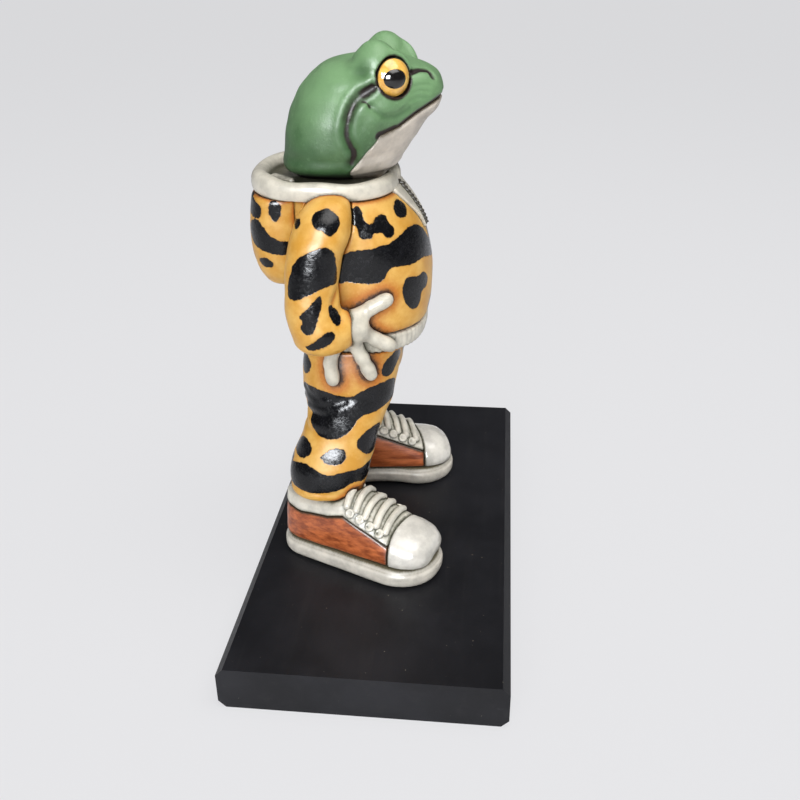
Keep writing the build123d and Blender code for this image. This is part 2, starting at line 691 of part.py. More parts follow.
# Seat each piece on its neighbours
whole_leg = leg + ankle_peg
seat = solid_of(seat - mirror(leg, Plane.YZ))
stay = solid_of(on_foot(stay) - leg - ankle_socket)
quarter = solid_of(on_foot(quarter) - ankle_socket - screw_hole)
sole = on_foot(sole) - screw_hole
eyelets = [solid_of(on_foot(eyelet - laces)) for eyelet in eyelets]
laces = [solid_of(on_foot(lace) - leg) for lace in laces]
sleeve = solid_of(upper_arm + forearm - jacket - hem - lining - wrist_socket)
lining = solid_of(lining - lining_mouth - head_shape(NECK_CLEARANCE) - throat_gap)
jacket = solid_of(jacket - neck_socket)
pouch = solid_of(pouch - jacket - sleeve - mirror(sleeve, Plane.YZ))
hand = solid_of(hand - jacket - hem - seat - leg - sleeve + wrist_peg)

# Write the pieces
os.makedirs("parts", exist_ok=True)
write("base_board", board)
write("mounting_screws", Compound([screw, mirror(screw, Plane.YZ)]))
write_pair("shoe_sole", sole)
write_pair("shoe_quarter", quarter)
write_pair("toe_cap", on_foot(toe_cap))
write_pair("lace_stay", stay)
write_pair("laces", Compound(laces))
write_pair("eyelets", Compound(eyelets))
write_pair("trouser_leg", whole_leg)
write("trouser_seat", seat)
write("jacket_hem_band", hem)
write("jacket_body", jacket)
write("front_placket", placket)
write("zip_strip", zip_strip)
write("hood_pouch", pouch)
write("hood_lining", lining)
write_pair("sleeve", sleeve)
write_pair("hand", hand)
write("head", head)
write("throat", throat)
write_pair("eye", eye_ball)
write_pair("pupil", pupil)
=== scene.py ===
import math

import bpy
import numpy as np
from mathutils import Matrix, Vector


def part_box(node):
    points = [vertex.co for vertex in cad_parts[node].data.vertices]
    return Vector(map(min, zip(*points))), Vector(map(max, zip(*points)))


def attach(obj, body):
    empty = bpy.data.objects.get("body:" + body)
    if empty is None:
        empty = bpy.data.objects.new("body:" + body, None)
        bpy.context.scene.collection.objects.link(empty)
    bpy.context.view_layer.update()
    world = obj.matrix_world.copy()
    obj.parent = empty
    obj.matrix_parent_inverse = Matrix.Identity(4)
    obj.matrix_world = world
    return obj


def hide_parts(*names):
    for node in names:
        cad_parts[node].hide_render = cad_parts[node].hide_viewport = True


# A hand-painted frog figurine in a hooded tracksuit, on a black board. Shapes are worked out in
# millimetres in the frame of the solids: +Z up, the figure faces -Y and its right side is at -X.

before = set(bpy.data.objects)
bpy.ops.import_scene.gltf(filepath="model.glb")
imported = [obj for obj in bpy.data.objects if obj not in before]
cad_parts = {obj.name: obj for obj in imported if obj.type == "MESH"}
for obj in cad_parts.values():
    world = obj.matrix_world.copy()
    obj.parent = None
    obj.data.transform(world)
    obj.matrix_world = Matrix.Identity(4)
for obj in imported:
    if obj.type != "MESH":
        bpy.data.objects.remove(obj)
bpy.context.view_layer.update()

MM = 0.001
FAR = 1e9

# Camera, as the photograph was taken: focal length in pixels of an 800 pixel wide picture
PICTURE_WIDTH = 800
FOCAL_PIXELS = 935.5
CAMERA_PLACE = np.array([-248.9, -29.6, 181.5])
CAMERA_YAW = math.radians(6.213)
CAMERA_PITCH = math.radians(27.196)
CAMERA_ROLL = math.radians(-0.561)
SIGHT_RANGE = (150.0, 420.0)   # a sight line is followed between these distances
SIGHT_STEPS = 90
SIGHT_SHARE = 0.7              # each step is this share of the distance to the shape
SIGHT_MOVE = (0.05, 12)        # and not shorter or longer than these
SIGHT_END = 0.02               # a sight line this near the shape has met it

# Levels and sizes of the solids, in millimetres
BOARD_TOP = 12.5
SOLE_TOP = 18.5
CUFF_Z = 33.5
LEG_HEIGHT = 43.5
HEM_Z = 77.0
HEM_HEIGHT = 4.8
CHEST_Z = HEM_Z + HEM_HEIGHT
TORSO_HEIGHT = 36.2
NECK_Z = CHEST_Z + TORSO_HEIGHT
HEAD_HEIGHT = 33.4
HEAD_DEPTH = 42.0
MIDDLE_Y = 7.0
STANCE_WIDTH = 38.0
HEEL_SET_BACK = 15.0
TOE_OUT = math.radians(17.2)
SHOE_SPAN = 28.8
TORSO_WIDTH = 43.0
TORSO_DEPTH = 38.0
BODY_SQUARENESS = 2.4

# How finely each kind of piece is meshed, in millimetres
COARSER = 1.0
BODY_STEP = 0.5 * COARSER
HEAD_STEP = 0.38 * COARSER
SHOE_STEP = 0.36 * COARSER
SMALL_STEP = 0.28 * COARSER
BLOCK = 4                      # grid points along each side of a block that is refined together
NEAR_BLOCKS = 1.25             # a block is refined if the surface is this many blocks away or less
SLOPE_REACH = 0.25             # slopes are measured over this share of a grid step
LONGEST_MOVE = 0.6             # a vertex moves to the surface by this share of a grid step at most


# Distances. A distance is negative inside a shape, and takes an array of points.
def smooth_min(a, b, reach):
    """The nearer of two distances, with the corner between them filled."""
    part = np.clip(0.5 + 0.5 * (b - a) / reach, 0, 1)
    return b * (1 - part) + a * part - reach * part * (1 - part)


def smooth_max(a, b, reach):
    return -smooth_min(-a, -b, reach)


def rise(value, low, high):
    """Smoothly from 0 at low to 1 at high."""
    part = np.clip((value - low) / (high - low), 0, 1)
    return part * part * (3 - 2 * part)


def bell(gap, width):
    return np.exp(-((gap / width) ** 2))


def most(*amounts):
    """The largest of several amounts at each point."""
    return np.maximum.reduce(amounts)


def oval(points, middle, half):
    """Distance to an ellipsoid, good near its surface."""
    scaled = (points - middle) / half
    size = np.linalg.norm(scaled, axis=1) + 1e-9
    slope = np.linalg.norm(scaled / half, axis=1) + 1e-9
    return size * (size - 1) / slope


def bar(points, start, end, start_radius, end_radius):
    """Distance to a round bar with rounded ends."""
    start = np.asarray(start, float)
    run = np.asarray(end, float) - start
    part = np.clip((points - start) @ run / (run @ run), 0, 1)
    gap = np.linalg.norm(points - start - part[:, None] * run, axis=1)
    return gap - (start_radius + (end_radius - start_radius) * part)


def place_gap(points, place):
    return np.linalg.norm(points - place, axis=1)


def path_gap(points, path):
    """Distance from each point to a line through the places of a path."""
    return np.minimum.reduce([bar(points, start, end, 0, 0) for start, end in zip(path[:-1], path[1:])])


def lines(points, rows):
    """How much each point lies on each of some lines, given as rows of path, strength and width."""
    return [strength * bell(path_gap(points, path), width) for path, strength, width in rows]


def outline_gap(points, outline):
    """Signed distance in the plane to a closed outline, negative inside."""
    best = np.full(len(points), FAR)
    crossings = np.zeros(len(points), int)
    for a, b in zip(outline, np.roll(outline, -1, axis=0)):
        run = b - a
        part = np.clip((points - a) @ run / (run @ run + 1e-12), 0, 1)
        best = np.minimum(best, np.hypot(*(points - a - part[:, None] * run).T))
        above = (a[1] > points[:, 1]) != (b[1] > points[:, 1])
        drop = b[1] - a[1] if b[1] != a[1] else 1e-12
        crossings += above & (points[:, 0] < a[0] + (points[:, 1] - a[1]) * run[0] / drop)
    return np.where(crossings % 2 == 1, -best, best)


def rounded(outline, rounds=2, closed=True):
    """Cut an outline's corners until it looks like a smooth curve."""
    outline = np.asarray(outline, float)
    for _ in range(rounds):
        ahead = np.roll(outline, -1, axis=0) if closed else outline[1:]
        here = outline if closed else outline[:-1]
        cut = np.stack([here * 0.75 + ahead * 0.25, here * 0.25 + ahead * 0.75], axis=1)
        cut = cut.reshape(-1, outline.shape[1])
        outline = cut if closed else np.vstack([outline[:1], cut, outline[-1:]])
    return outline


class Body:
    """A body stacked from level ovals, whose places and sizes are shares of its own size."""

    def __init__(self, shares, base_z, height, width, depth, lean_x=(0.0, 0.0), middle_y=0.0,
                 squareness=2.0, taper_share=0.0, edge=0.9):
        rows = np.array(shares)
        self.knots = base_z + height * rows[:, 0]
        sizes = [lean_x[1] - lean_x[0], depth, width / 2, depth / 2]
        self.values = rows[:, 1:] * sizes + [lean_x[0], middle_y, 0, 0]
        self.slopes = np.gradient(self.values, self.knots, axis=0)
        self.round_radius = (width + depth) / 4
        self.squareness, self.taper_share, self.edge = squareness, taper_share, edge

    def section(self, z):
        """Middle and half sizes at each height, and how fast they change with height."""
        z = np.clip(z, self.knots[0], self.knots[-1])
        cell = np.clip(np.searchsorted(self.knots, z) - 1, 0, len(self.knots) - 2)
        span = (self.knots[cell + 1] - self.knots[cell])[:, None]
        t = (z - self.knots[cell])[:, None] / span
        low, run = self.values[cell], self.values[cell + 1] - self.values[cell]
        low_slope, high_slope = self.slopes[cell] * span, self.slopes[cell + 1] * span
        square = 3 * run - 2 * low_slope - high_slope
        cube = low_slope + high_slope - 2 * run
        value = low + t * (low_slope + t * (square + t * cube))
        return value, (low_slope + t * (2 * square + 3 * t * cube)) / span

    def distance(self, points):
        value, change = self.section(points[:, 2])
        x, y = (points[:, :2] - value[:, :2]).T
        half_x, half_y = value[:, 2:].T
        half_x = half_x * (1 + self.taper_share * np.clip(y / half_y, -1, 1))
        wide = np.abs(x / half_x) ** self.squareness
        deep = np.abs(y / half_y) ** self.squareness
        size = (wide + deep + 1e-12) ** (1 / self.squareness)
        far = np.hypot(x, y) + 1e-9
        share = wide / (wide + deep + 1e-12)
        rate = far / size * (share * change[:, 2] / half_x + (1 - share) * change[:, 3] / half_y)
        rate = rate + (x * change[:, 0] + y * change[:, 1]) / far
        side = (far - far / size) / np.sqrt(1 + np.clip(rate, -3, 3) ** 2)
        ends = np.maximum(self.knots[0] - points[:, 2], points[:, 2] - self.knots[-1])
        return smooth_max(side, ends, self.edge)

    def unwrap(self, points):
        """Distance round the body from its -X side, towards the front, and height."""
        value, _ = self.section(points[:, 2])
        angle = np.arctan2(value[:, 1] - points[:, 1], value[:, 0] - points[:, 0])
        return np.stack([angle * self.round_radius, points[:, 2]], axis=1)


# Camera rays
def camera_axes():
    """Directions of the camera's right, up and forward."""
    level = math.cos(CAMERA_PITCH)
    ahead = np.array([
        level * math.cos(CAMERA_YAW), level * math.sin(CAMERA_YAW), -math.sin(CAMERA_PITCH)
    ])
    right = np.cross(ahead, [0, 0, 1])
    right /= np.linalg.norm(right)
    up = np.cross(right, ahead)
    turn, side = math.cos(CAMERA_ROLL), math.sin(CAMERA_ROLL)
    return right * turn + up * side, up * turn - right * side, ahead


def cast(distance, pixels):
    """Where the sight lines through pixels of the photograph meet a shape, or pass nearest to it."""
    right, up, ahead = camera_axes()
    pixels = np.asarray(pixels, float) - PICTURE_WIDTH / 2
    rays = ahead + (pixels[:, :1] * right - pixels[:, 1:] * up) / FOCAL_PIXELS
    rays /= np.linalg.norm(rays, axis=1)[:, None]
    far = np.full(len(rays), SIGHT_RANGE[0])
    best, best_far = np.full(len(rays), FAR), far
    for _ in range(SIGHT_STEPS):
        gap = distance(CAMERA_PLACE + rays * far[:, None])
        best_far = np.where(gap < best - 1e-4, far, best_far)
        best = np.minimum(best, gap)
        move = np.clip(np.abs(gap) * SIGHT_SHARE, *SIGHT_MOVE)
        far = np.clip(far + np.where(best < SIGHT_END, 0, move), *SIGHT_RANGE)
    return CAMERA_PLACE + rays * best_far[:, None]


def cast_curve(distance, pixels):
    return cast(distance, rounded(pixels, 1, False))


# Meshing
def surface_net(values, low, step):
    """Vertices and four-sided faces of the surface where a grid of distances changes sign."""
    inside = values < 0
    size = np.array(values.shape) - 1
    total = np.zeros(size, np.int8)
    for corner in np.ndindex(2, 2, 2):
        total += inside[tuple(slice(c, c + s) for c, s in zip(corner, size))]
    crossed = (total > 0) & (total < 8)
    cells = np.argwhere(crossed)
    number = np.full(size, -1)
    number[crossed] = np.arange(len(cells))
    place = np.zeros((len(cells), 3))
    hits = np.zeros(len(cells))
    faces = []
    for axis in range(3):
        unit, first, second = np.roll(np.eye(3, dtype=int), -axis, axis=0)
        if axis == 1:
            first, second = second, first
        for pair in np.ndindex(2, 2):
            corner = first * pair[0] + second * pair[1]
            start = values[tuple((cells + corner).T)]
            end = values[tuple((cells + corner + unit).T)]
            cut = (start < 0) != (end < 0)
            part = np.where(cut, start / np.where(cut, start - end, 1), 0)
            place[cut] += (corner + unit * part[:, None])[cut]
            hits += cut
        edge = inside != np.roll(inside, -1, axis)
        for other in range(3):
            ends = (-1,) if other == axis else (0, -1)
            np.moveaxis(edge, other, 0)[list(ends)] = False
        at = np.argwhere(edge)
        corners = (0 * first, first, first + second, second)
        quad = np.stack([number[tuple((at - corner).T)] for corner in corners], 1)
        flip = inside[tuple(at.T)] == (axis != 1)
        quad[flip] = quad[flip][:, ::-1]
        faces.append(quad)
    return low + (cells + place / hits[:, None]) * step, np.vstack(faces)


def all_indices(counts):
    """Every index of a grid, one in a row."""
    return np.argwhere(np.ones(counts, bool))


def mesh_of(distance, low, high, step):
    """Mesh a shape, on a grid that is worked out finely only near its surface."""
    low, high = low - 3 * step, high + 3 * step
    block = step * BLOCK
    count = np.ceil((high - low) / block).astype(int)
    blocks = all_indices(count)
    rough = distance(low + (blocks * BLOCK + (BLOCK - 1) / 2) * step)
    values = np.kron(rough.reshape(count), np.ones([BLOCK] * 3))
    near_blocks = blocks[np.abs(rough) < block * NEAR_BLOCKS]
    index = (near_blocks[:, None, :] * BLOCK + all_indices([BLOCK] * 3)).reshape(-1, 3)
    values[tuple(index.T)] = distance(low + index * step)
    verts, faces = surface_net(values, low, step)
    gap = distance(verts)
    reach = step * SLOPE_REACH
    slope = np.stack([distance(verts + reach * unit) - gap for unit in np.eye(3)], axis=1) / reach
    move = -(gap / (np.sum(slope**2, axis=1) + 1e-9))[:, None] * slope
    length = np.linalg.norm(move, axis=1)[:, None] + 1e-9
    return verts + move * np.minimum(1, LONGEST_MOVE * step / length), faces


def mirrored(mesh):
    verts, faces = mesh
    return verts * [-1, 1, 1], faces[:, ::-1]


# Tables of shares. Each row is: height, middle across, middle front to back, half width, half depth
LEG_SHARES = [
    (0, 0, -0.02, 0.86, 0.745), (0.022, 0, -0.02, 0.89, 0.77), (0.09, 0.04, -0.035, 0.94, 0.82),
    (0.195, 0.13, -0.06, 0.97, 0.85), (0.3, 0.27, -0.11, 0.96, 0.82), (0.41, 0.43, -0.17, 0.94, 0.8),
    (0.525, 0.6, -0.215, 0.96, 0.84), (0.63, 0.76, -0.235, 1, 0.93), (0.75, 0.9, -0.25, 1.05, 0.98),
    (0.875, 0.98, -0.27, 1.08, 1), (1, 1, -0.29, 1.02, 0.99),
]
SEAT_SHARES = [
    (0, 0, 0.13, 0.45, 0.56), (0.06, 0, 0.126, 0.66, 0.74), (0.2, 0, 0.12, 0.86, 0.9),
    (0.45, 0, 0.108, 0.97, 0.97), (0.75, 0, 0.098, 1, 0.99), (1, 0, 0.09, 1, 0.98),
]
HEM_SHARES = [
    (0, 0, 0.01, 0.925, 0.885), (0.25, 0, 0.008, 0.94, 0.91), (0.75, 0, 0.006, 0.945, 0.93),
    (1, 0, 0.004, 0.94, 0.925),
]
TORSO_SHARES = [
    (0, 0, 0, 0.95, 0.925), (0.06, 0, -0.004, 0.97, 0.945), (0.2, 0, -0.006, 0.99, 0.97),
    (0.42, 0, 0.004, 1, 0.992), (0.64, 0, 0.024, 1, 0.962), (0.8, 0, 0.062, 0.985, 0.921),
    (0.9, 0, 0.102, 0.95, 0.872), (1, 0, 0.148, 0.88, 0.81),
]
POUCH_SHARES = [
    (0, 0, 0.02, 0.44, 0.36), (0.05, 0, 0, 0.66, 0.6), (0.14, 0, -0.01, 0.82, 0.8),
    (0.32, 0, 0, 0.94, 0.96), (0.56, 0, 0, 0.99, 1), (0.8, 0, 0, 1, 0.98), (1, 0, -0.02, 0.99, 0.93),
]
SLEEVE_SHARES = [
    (0, 1, 0.04, 0.55, 0.6), (0.035, 1, 0.03, 0.8, 0.84), (0.12, 1, 0.05, 0.98, 0.98),
    (0.26, 1, 0.15, 0.98, 0.97), (0.43, 0.92, 0.17, 0.96, 0.91), (0.61, 0.78, 0.12, 0.99, 0.95),
    (0.78, 0.52, 0, 1.01, 0.98), (0.9, 0.22, -0.07, 0.92, 0.82), (0.965, -0.1, -0.12, 0.72, 0.6),
    (1, -0.3, -0.14, 0.42, 0.35),
]
HEAD_SHARES = [
    (0, 0, 0.145, 0.11, 0.44), (0.05, 0, 0.144, 0.15, 0.5), (0.1, 0, 0.142, 0.36, 0.59),
    (0.16, 0, 0.132, 0.745, 0.695), (0.3, 0, 0.088, 0.93, 0.775), (0.5, 0, 0.024, 0.99, 0.86),
    (0.66, 0, -0.042, 0.97, 0.905), (0.78, 0, -0.07, 0.91, 0.85), (0.885, 0, -0.092, 0.8, 0.735),
    (0.96, 0, -0.084, 0.6, 0.52), (1, 0, -0.072, 0.32, 0.28),
]
# The shoe's upper lies along these: heel to toe, shift sideways and upwards, half width, height
UPPER_SHARES = [
    (0, 0, 0, 0.38, 0.72), (0.03, 0, 0, 0.53, 0.8), (0.1, 0, 0, 0.7, 0.86), (0.22, -0.03, 0, 0.76, 0.9),
    (0.38, -0.07, 0, 0.78, 0.97), (0.5, -0.06, 0, 0.84, 0.95), (0.64, -0.02, 0, 0.93, 0.73),
    (0.78, 0, 0, 1, 0.52), (0.88, 0, 0, 0.96, 0.46), (0.95, 0, 0, 0.8, 0.38), (0.985, 0, 0, 0.6, 0.28),
    (1, 0, 0, 0.42, 0.18),
]

# Bodies
ANKLE_Y = MIDDLE_Y + 10.4
THIGH_X = 10.0
ARM_X = -26.5
ARM_Y = 14.6
SLEEVE_INNER_X = -19.0
ELBOW_Z = 86.1
WRIST = np.array([-25.5, 6.0, ELBOW_Z])
POUCH_Y = 27.7
HEAD_Y = 7.2

TRUNK = {"width": TORSO_WIDTH, "depth": TORSO_DEPTH, "middle_y": MIDDLE_Y, "squareness": BODY_SQUARENESS}
leg_body = Body(LEG_SHARES, base_z=CUFF_Z, height=LEG_HEIGHT, width=20.8, depth=27.4,
                lean_x=(-STANCE_WIDTH / 2, -THIGH_X), middle_y=ANKLE_Y, squareness=2.1)
seat_body = Body(SEAT_SHARES, base_z=61.5, height=15.5, width=29.0, depth=27.6, middle_y=MIDDLE_Y,
                 squareness=BODY_SQUARENESS)
hem_body = Body(HEM_SHARES, base_z=HEM_Z, height=HEM_HEIGHT, **TRUNK)
torso_body = Body(TORSO_SHARES, base_z=CHEST_Z, height=TORSO_HEIGHT, edge=1.4, **TRUNK)
pouch_body = Body(POUCH_SHARES, base_z=92.0, height=26.0, width=37.0, depth=19.0, middle_y=POUCH_Y,
                  squareness=BODY_SQUARENESS, edge=1.5)
arm_body = Body(SLEEVE_SHARES, base_z=80.4, height=40.2, width=15.0, depth=15.2,
                lean_x=(SLEEVE_INNER_X, ARM_X), middle_y=ARM_Y)
head_body = Body(HEAD_SHARES, base_z=NECK_Z, height=HEAD_HEIGHT, width=36.0, depth=HEAD_DEPTH,
                 middle_y=HEAD_Y, squareness=2.05, taper_share=0.2)
upper_body = Body(UPPER_SHARES, base_z=-7.0, height=46.3, width=20.4, depth=35.2, lean_x=(0, 10.2),
                  squareness=2.6, edge=0.8)


def wavy(points, height, length, shift=0.0):
    """A slow uneven swell, as modelling by hand leaves."""
    x, y, z = (points * (2 * math.pi / length)).T
    swell = np.sin(x * 1.3 + z * 0.7 + shift) + np.sin(y * 1.1 - z * 0.9 + 1.7 * shift + 1)
    return height * (swell + np.sin(z * 1.6 + x - y * 0.6 + 2.3 * shift)) / 3


def right_side(points):
    """The same points folded over to the figure's right side."""
    return points * np.where(points[:, :1] > 0, np.array([-1.0, 1, 1]), 1.0)


def folded(shape):
    """A right-hand shape, on both sides."""
    return lambda points: shape(right_side(points))


# Hand, drawn on the picture: the path of each finger, spread over the hip
PALM_PIXELS = [(353, 319), (357, 329), (349, 341)]
PALM_RISE = 3.4
PALM_HALF = (2.7, 4.0, 5.0)
FINGER_PIXELS = [
    [(352, 321), (366, 310.5), (387, 299.5)],
    [(353, 324), (371, 337), (390.5, 345.5)],
    [(349, 334), (359, 352), (371, 374.5)],
    [(340, 340), (329.5, 358), (333, 380)],
]
FINGER_RADIUS = 1.6
FINGER_SINK = 0.5
FINGER_ROOT = 1.3              # radius at a finger's root and tip, as shares of the rest
FINGER_TIP = 1.06
WRIST_RADIUS = 3.9
WRIST_END_RADIUS = 3.0


def hip(points):
    """What the hand rests on."""
    body = smooth_min(torso_body.distance(points), hem_body.distance(points), 2.0)
    return smooth_min(body, leg_body.distance(points), 4.0)


fingers = [cast_curve(lambda p: hip(p) - FINGER_RADIUS + FINGER_SINK, path) for path in FINGER_PIXELS]
palm_places = cast(lambda p: hip(p) - PALM_RISE, PALM_PIXELS)


def hand(points):
    palm = oval(points, palm_places.mean(0) + [0.2, 0.6, 0.3], PALM_HALF)
    wrist = bar(points, WRIST + [0.3, 5, 0.4], palm_places[1] + [0.3, 0, 0], WRIST_RADIUS, WRIST_END_RADIUS)
    body = np.full(len(points), FAR)
    for path in fingers:
        for index, (start, end) in enumerate(zip(path[:-1], path[1:])):
            root = FINGER_RADIUS * (FINGER_ROOT if index == 0 else 1.0)
            tip = FINGER_RADIUS * (FINGER_TIP if index > 1 else 1.0)
            body = smooth_min(body, bar(points, start, end, root, tip), 1.5)
    return smooth_min(body, smooth_min(palm, wrist, 2.0), 2.2)


# Sleeves
ELBOW = np.array([ARM_X, ARM_Y, ELBOW_Z + 0.2])
FOREARM_RADIUS = 5.6
FOREARM_END_RADIUS = 4.3
CUFF_HALF = (5.0, 2.2, 5.1)
CUFF_MOUTH_HALF = (4.1, 1.8, 4.4)
elbow_fold = cast(arm_body.distance, [(345, 284), (337, 294), (334, 303)])


def sleeve(points):
    forearm = bar(points, ELBOW, WRIST + [0, 3.6, 0.4], FOREARM_RADIUS, FOREARM_END_RADIUS)
    cuff = oval(points, WRIST + [0.2, 3.0, 0.6], CUFF_HALF)
    mouth = oval(points, WRIST + [0.2, -0.2, 0.2], CUFF_MOUTH_HALF)
    body = smooth_min(smooth_min(arm_body.distance(points), forearm, 3.0), cuff, 1.0)
    body = body + 0.7 * bell(path_gap(points, elbow_fold), 1.3) + wavy(points, 0.12, 14, 0.4)
    return smooth_max(body, -mouth, 0.5)


# Jacket
HEM_RIB_PITCH = 1.9
ZIP_TOOTH = 1.05
ZIP_HALF_WIDTH = 0.85
PLACKET_BOTTOM = 107.3
PLACKET_FRONT = 2.0            # the facing and the zip lie on the chest in front of this


def torso(points):
    arm = arm_body.distance(right_side(points))
    body = smooth_min(torso_body.distance(points) + wavy(points, 0.16, 20, 1.1), arm, 3.2)
    body = smooth_max(body, 0.05 - arm, 0.3)
    return body + 0.35 * bell(arm, 1.0) + 0.5 * bell(points[:, 2] - CHEST_Z, 1.2)


def hem_band(points):
    ribs = 0.10 * np.cos(hem_body.unwrap(points)[:, 0] * (2 * math.pi / HEM_RIB_PITCH))
    return hem_body.distance(points) - 0.15 + ribs


def chest_strip(points, rise_mm, half_thickness, half_width, corner):
    """A flat strip down the middle of the chest."""
    body = np.abs(torso_body.distance(points) - rise_mm) - half_thickness
    body = smooth_max(body, np.abs(points[:, 0]) - half_width, corner)
    return smooth_max(body, points[:, 1] - PLACKET_FRONT, 0.4)


def placket(points):
    half = 2.0 + 5.5 * rise(points[:, 2], 106.0, 119.5)
    seam = bell(np.abs(points[:, 0]) - 1.25, 0.3)
    body = chest_strip(points, 0.35, 0.55, half, 0.4) + 0.3 * seam
    return smooth_max(body, PLACKET_BOTTOM - points[:, 2], 0.5)


def zip_strip(points):
    teeth = 0.16 * np.cos(points[:, 2] * 2 * math.pi / ZIP_TOOTH + np.sign(points[:, 0]) * 1.2)
    body = chest_strip(points, 0.95, 0.35 + teeth, ZIP_HALF_WIDTH, 0.3)
    return smooth_max(body, PLACKET_BOTTOM + 0.5 - points[:, 2], 0.4)


# Trousers. Each fold is drawn on the picture, with how deep it is.
KNEE_FOLD_PIXELS = [
    (0.75, [(304, 398), (314, 407), (327, 408), (343, 402)]),
    (0.55, [(309, 411), (318, 416), (331, 414)]),
    (0.55, [(322, 396), (334, 401), (350, 399)]),
    (0.5, [(312, 391), (318, 398), (328, 398)]),
    (0.5, [(305, 386), (309, 395), (316, 402)]),
]
knee_folds = [(cast_curve(leg_body.distance, path), depth, 1.25) for depth, path in KNEE_FOLD_PIXELS]
BACK_FOLDS = [(58.5, 0.8), (54.6, 0.6), (63.0, 0.45)]          # height and depth


def seat(points):
    body = seat_body.distance(points) + wavy(points, 0.15, 16, 2.0)
    return body + 0.5 * bell(points[:, 0], 1.1)


def leg(points):
    x, y, z = points.T
    body = leg_body.distance(points) + wavy(points, 0.18, 15, 0.2) + sum(lines(points, knee_folds))
    behind = rise(y, MIDDLE_Y + 6, MIDDLE_Y + 14)
    for level, depth in BACK_FOLDS:
        tilt = level + 0.12 * (x + THIGH_X) + 0.5 * np.sin(x * 0.6 + level)
        body = body + depth * behind * bell(z - tilt, 1.1)
    body = body + 0.22 * bell(z - CUFF_Z - 2.6, 0.5) - 0.15 * rise(-z, -CUFF_Z - 2.4, -CUFF_Z - 1.2)
    return smooth_max(smooth_max(body, x + 0.05, 0.8), 0.1 - seat_body.distance(points), 0.8)


# Hood
RIM_Y = 16.6
RIM_HALF_X = 18.4
RIM_HALF_Y = 17.8
RIM_LEVEL = 119.85
RIM_TUBE = 1.95
RIM_TALL = 1.32                # the rim's section is this many times as tall as wide
RIM_SQUARENESS = 2.6
RIM_MOUTH_HALF = 1.0
TROUGH_Z = 119.6
TROUGH_HALF_THICKNESS = 0.9


def hood_pouch(points):
    body = pouch_body.distance(points) + wavy(points, 0.22, 18, 3.0)
    crease = bell(points[:, 0] + 1.5 * np.sin(points[:, 2] * 0.3), 1.0) * rise(points[:, 1], 30, 35)
    body = smooth_max(body + 0.35 * crease, 0.1 - torso_body.distance(points), 1.0)
    return smooth_max(body, 0.1 - arm_body.distance(right_side(points)), 1.0)


def rim_line(points):
    """Distance in plan from the rim's middle line, negative inside it."""
    x, y = points[:, 0], points[:, 1] - RIM_Y
    size = np.abs(x / RIM_HALF_X) ** BODY_SQUARENESS + np.abs(y / RIM_HALF_Y) ** BODY_SQUARENESS + 1e-9
    far = np.hypot(x, y)
    return far - far / size ** (1 / BODY_SQUARENESS)


def hood_lining(points):
    x, y, z = points.T
    ring = rim_line(points)
    back = rise(y, 12, 34)
    level = RIM_LEVEL + 0.6 * back + 0.2 * np.sin(y * 0.33 + x * 0.2)
    thick = RIM_TUBE + 0.12 * np.sin(y * 0.45 + 1) + 0.3 * back
    tall = np.abs(z - level) / RIM_TALL
    tube = (np.abs(ring) ** RIM_SQUARENESS + tall**RIM_SQUARENESS + 1e-9) ** (1 / RIM_SQUARENESS) - thick
    tube = smooth_max(tube, NECK_Z - z, 0.4)
    floor = smooth_max(ring, np.abs(z - TROUGH_Z) - TROUGH_HALF_THICKNESS, 0.4)
    fold = bar(points, [-6.5, 29.5, 120.6], [-11.5, 24.0, 121.4], 1.5, 0.9)
    body = smooth_min(tube, smooth_min(floor, fold, 0.8), 1.0)
    mouth = most(np.abs(x) - RIM_MOUTH_HALF - 0.55 * np.clip(z - NECK_Z, 0, 6), y - 3.5)
    body = smooth_max(body, -mouth, 1.2)
    return smooth_max(body, 0.25 - head_body.distance(points), 0.6)


# Head. Its creases are drawn on the picture and laid on the head's right side.
def direction(x, y, z):
    return np.array([x, y, z]) / math.hypot(x, y, z)


BROW_PLACE = np.array([-10.2, 1.6, 149.2])
BROW_HALF = (5.9, 5.6, 6.5)
SNOUT_PLACE = np.array([-3.0, -8.6, 142.6])
SNOUT_HALF = (6.5, 5.6, 5.4)
EYE_PLACE = np.array([-10.8, -1.4, 147.2])
EYE_RADIUS = 5.3
EYE_OPENING = 5.0
GAZE = direction(-0.80, -0.60, 0.06)
LID_RADIUS = 5.5
LID_AHEAD = 1.3
LID_TUBE = 0.72
PUPIL_HALF = np.array([3.15, 2.75, 2.0])      # across, up and along the gaze
PUPIL_GAZE = direction(-0.87, -0.49, 0.03)
PUPIL_PLACE = EYE_PLACE + PUPIL_GAZE * (EYE_RADIUS + 0.35 - PUPIL_HALF[2])
HEAD_FRONT = HEAD_Y - HEAD_DEPTH / 2
THROAT_SHARES = [
    (-0.30, 0.745), (0.00, 0.707), (0.065, 0.660), (0.145, 0.600), (0.235, 0.520), (0.335, 0.470),
    (0.37, 0.410), (0.42, 0.345), (0.47, 0.270), (0.525, 0.195), (0.55, 0.080), (0.56, -0.300),
    (-0.30, -0.300),
]
THROAT_OUTLINE = np.array([HEAD_FRONT, NECK_Z]) + np.array(THROAT_SHARES) * [HEAD_DEPTH, HEAD_HEIGHT]
MOUTH_CORNER_PIXELS = [(379.5, 136), (387, 133.5), (395, 129.5)]
EAR_FOLD_PIXELS = [
    (372, 88), (365, 93), (357, 99), (351, 109), (347, 122), (346, 136), (350, 146), (355, 153),
    (352, 164),
]
EAR_INNER_PIXELS = [(369.5, 107), (365.5, 102.5), (358, 100.5)]
CHEEK_CREASE_PIXELS = [(371, 105), (377, 112), (386, 117), (397, 117), (410, 109)]
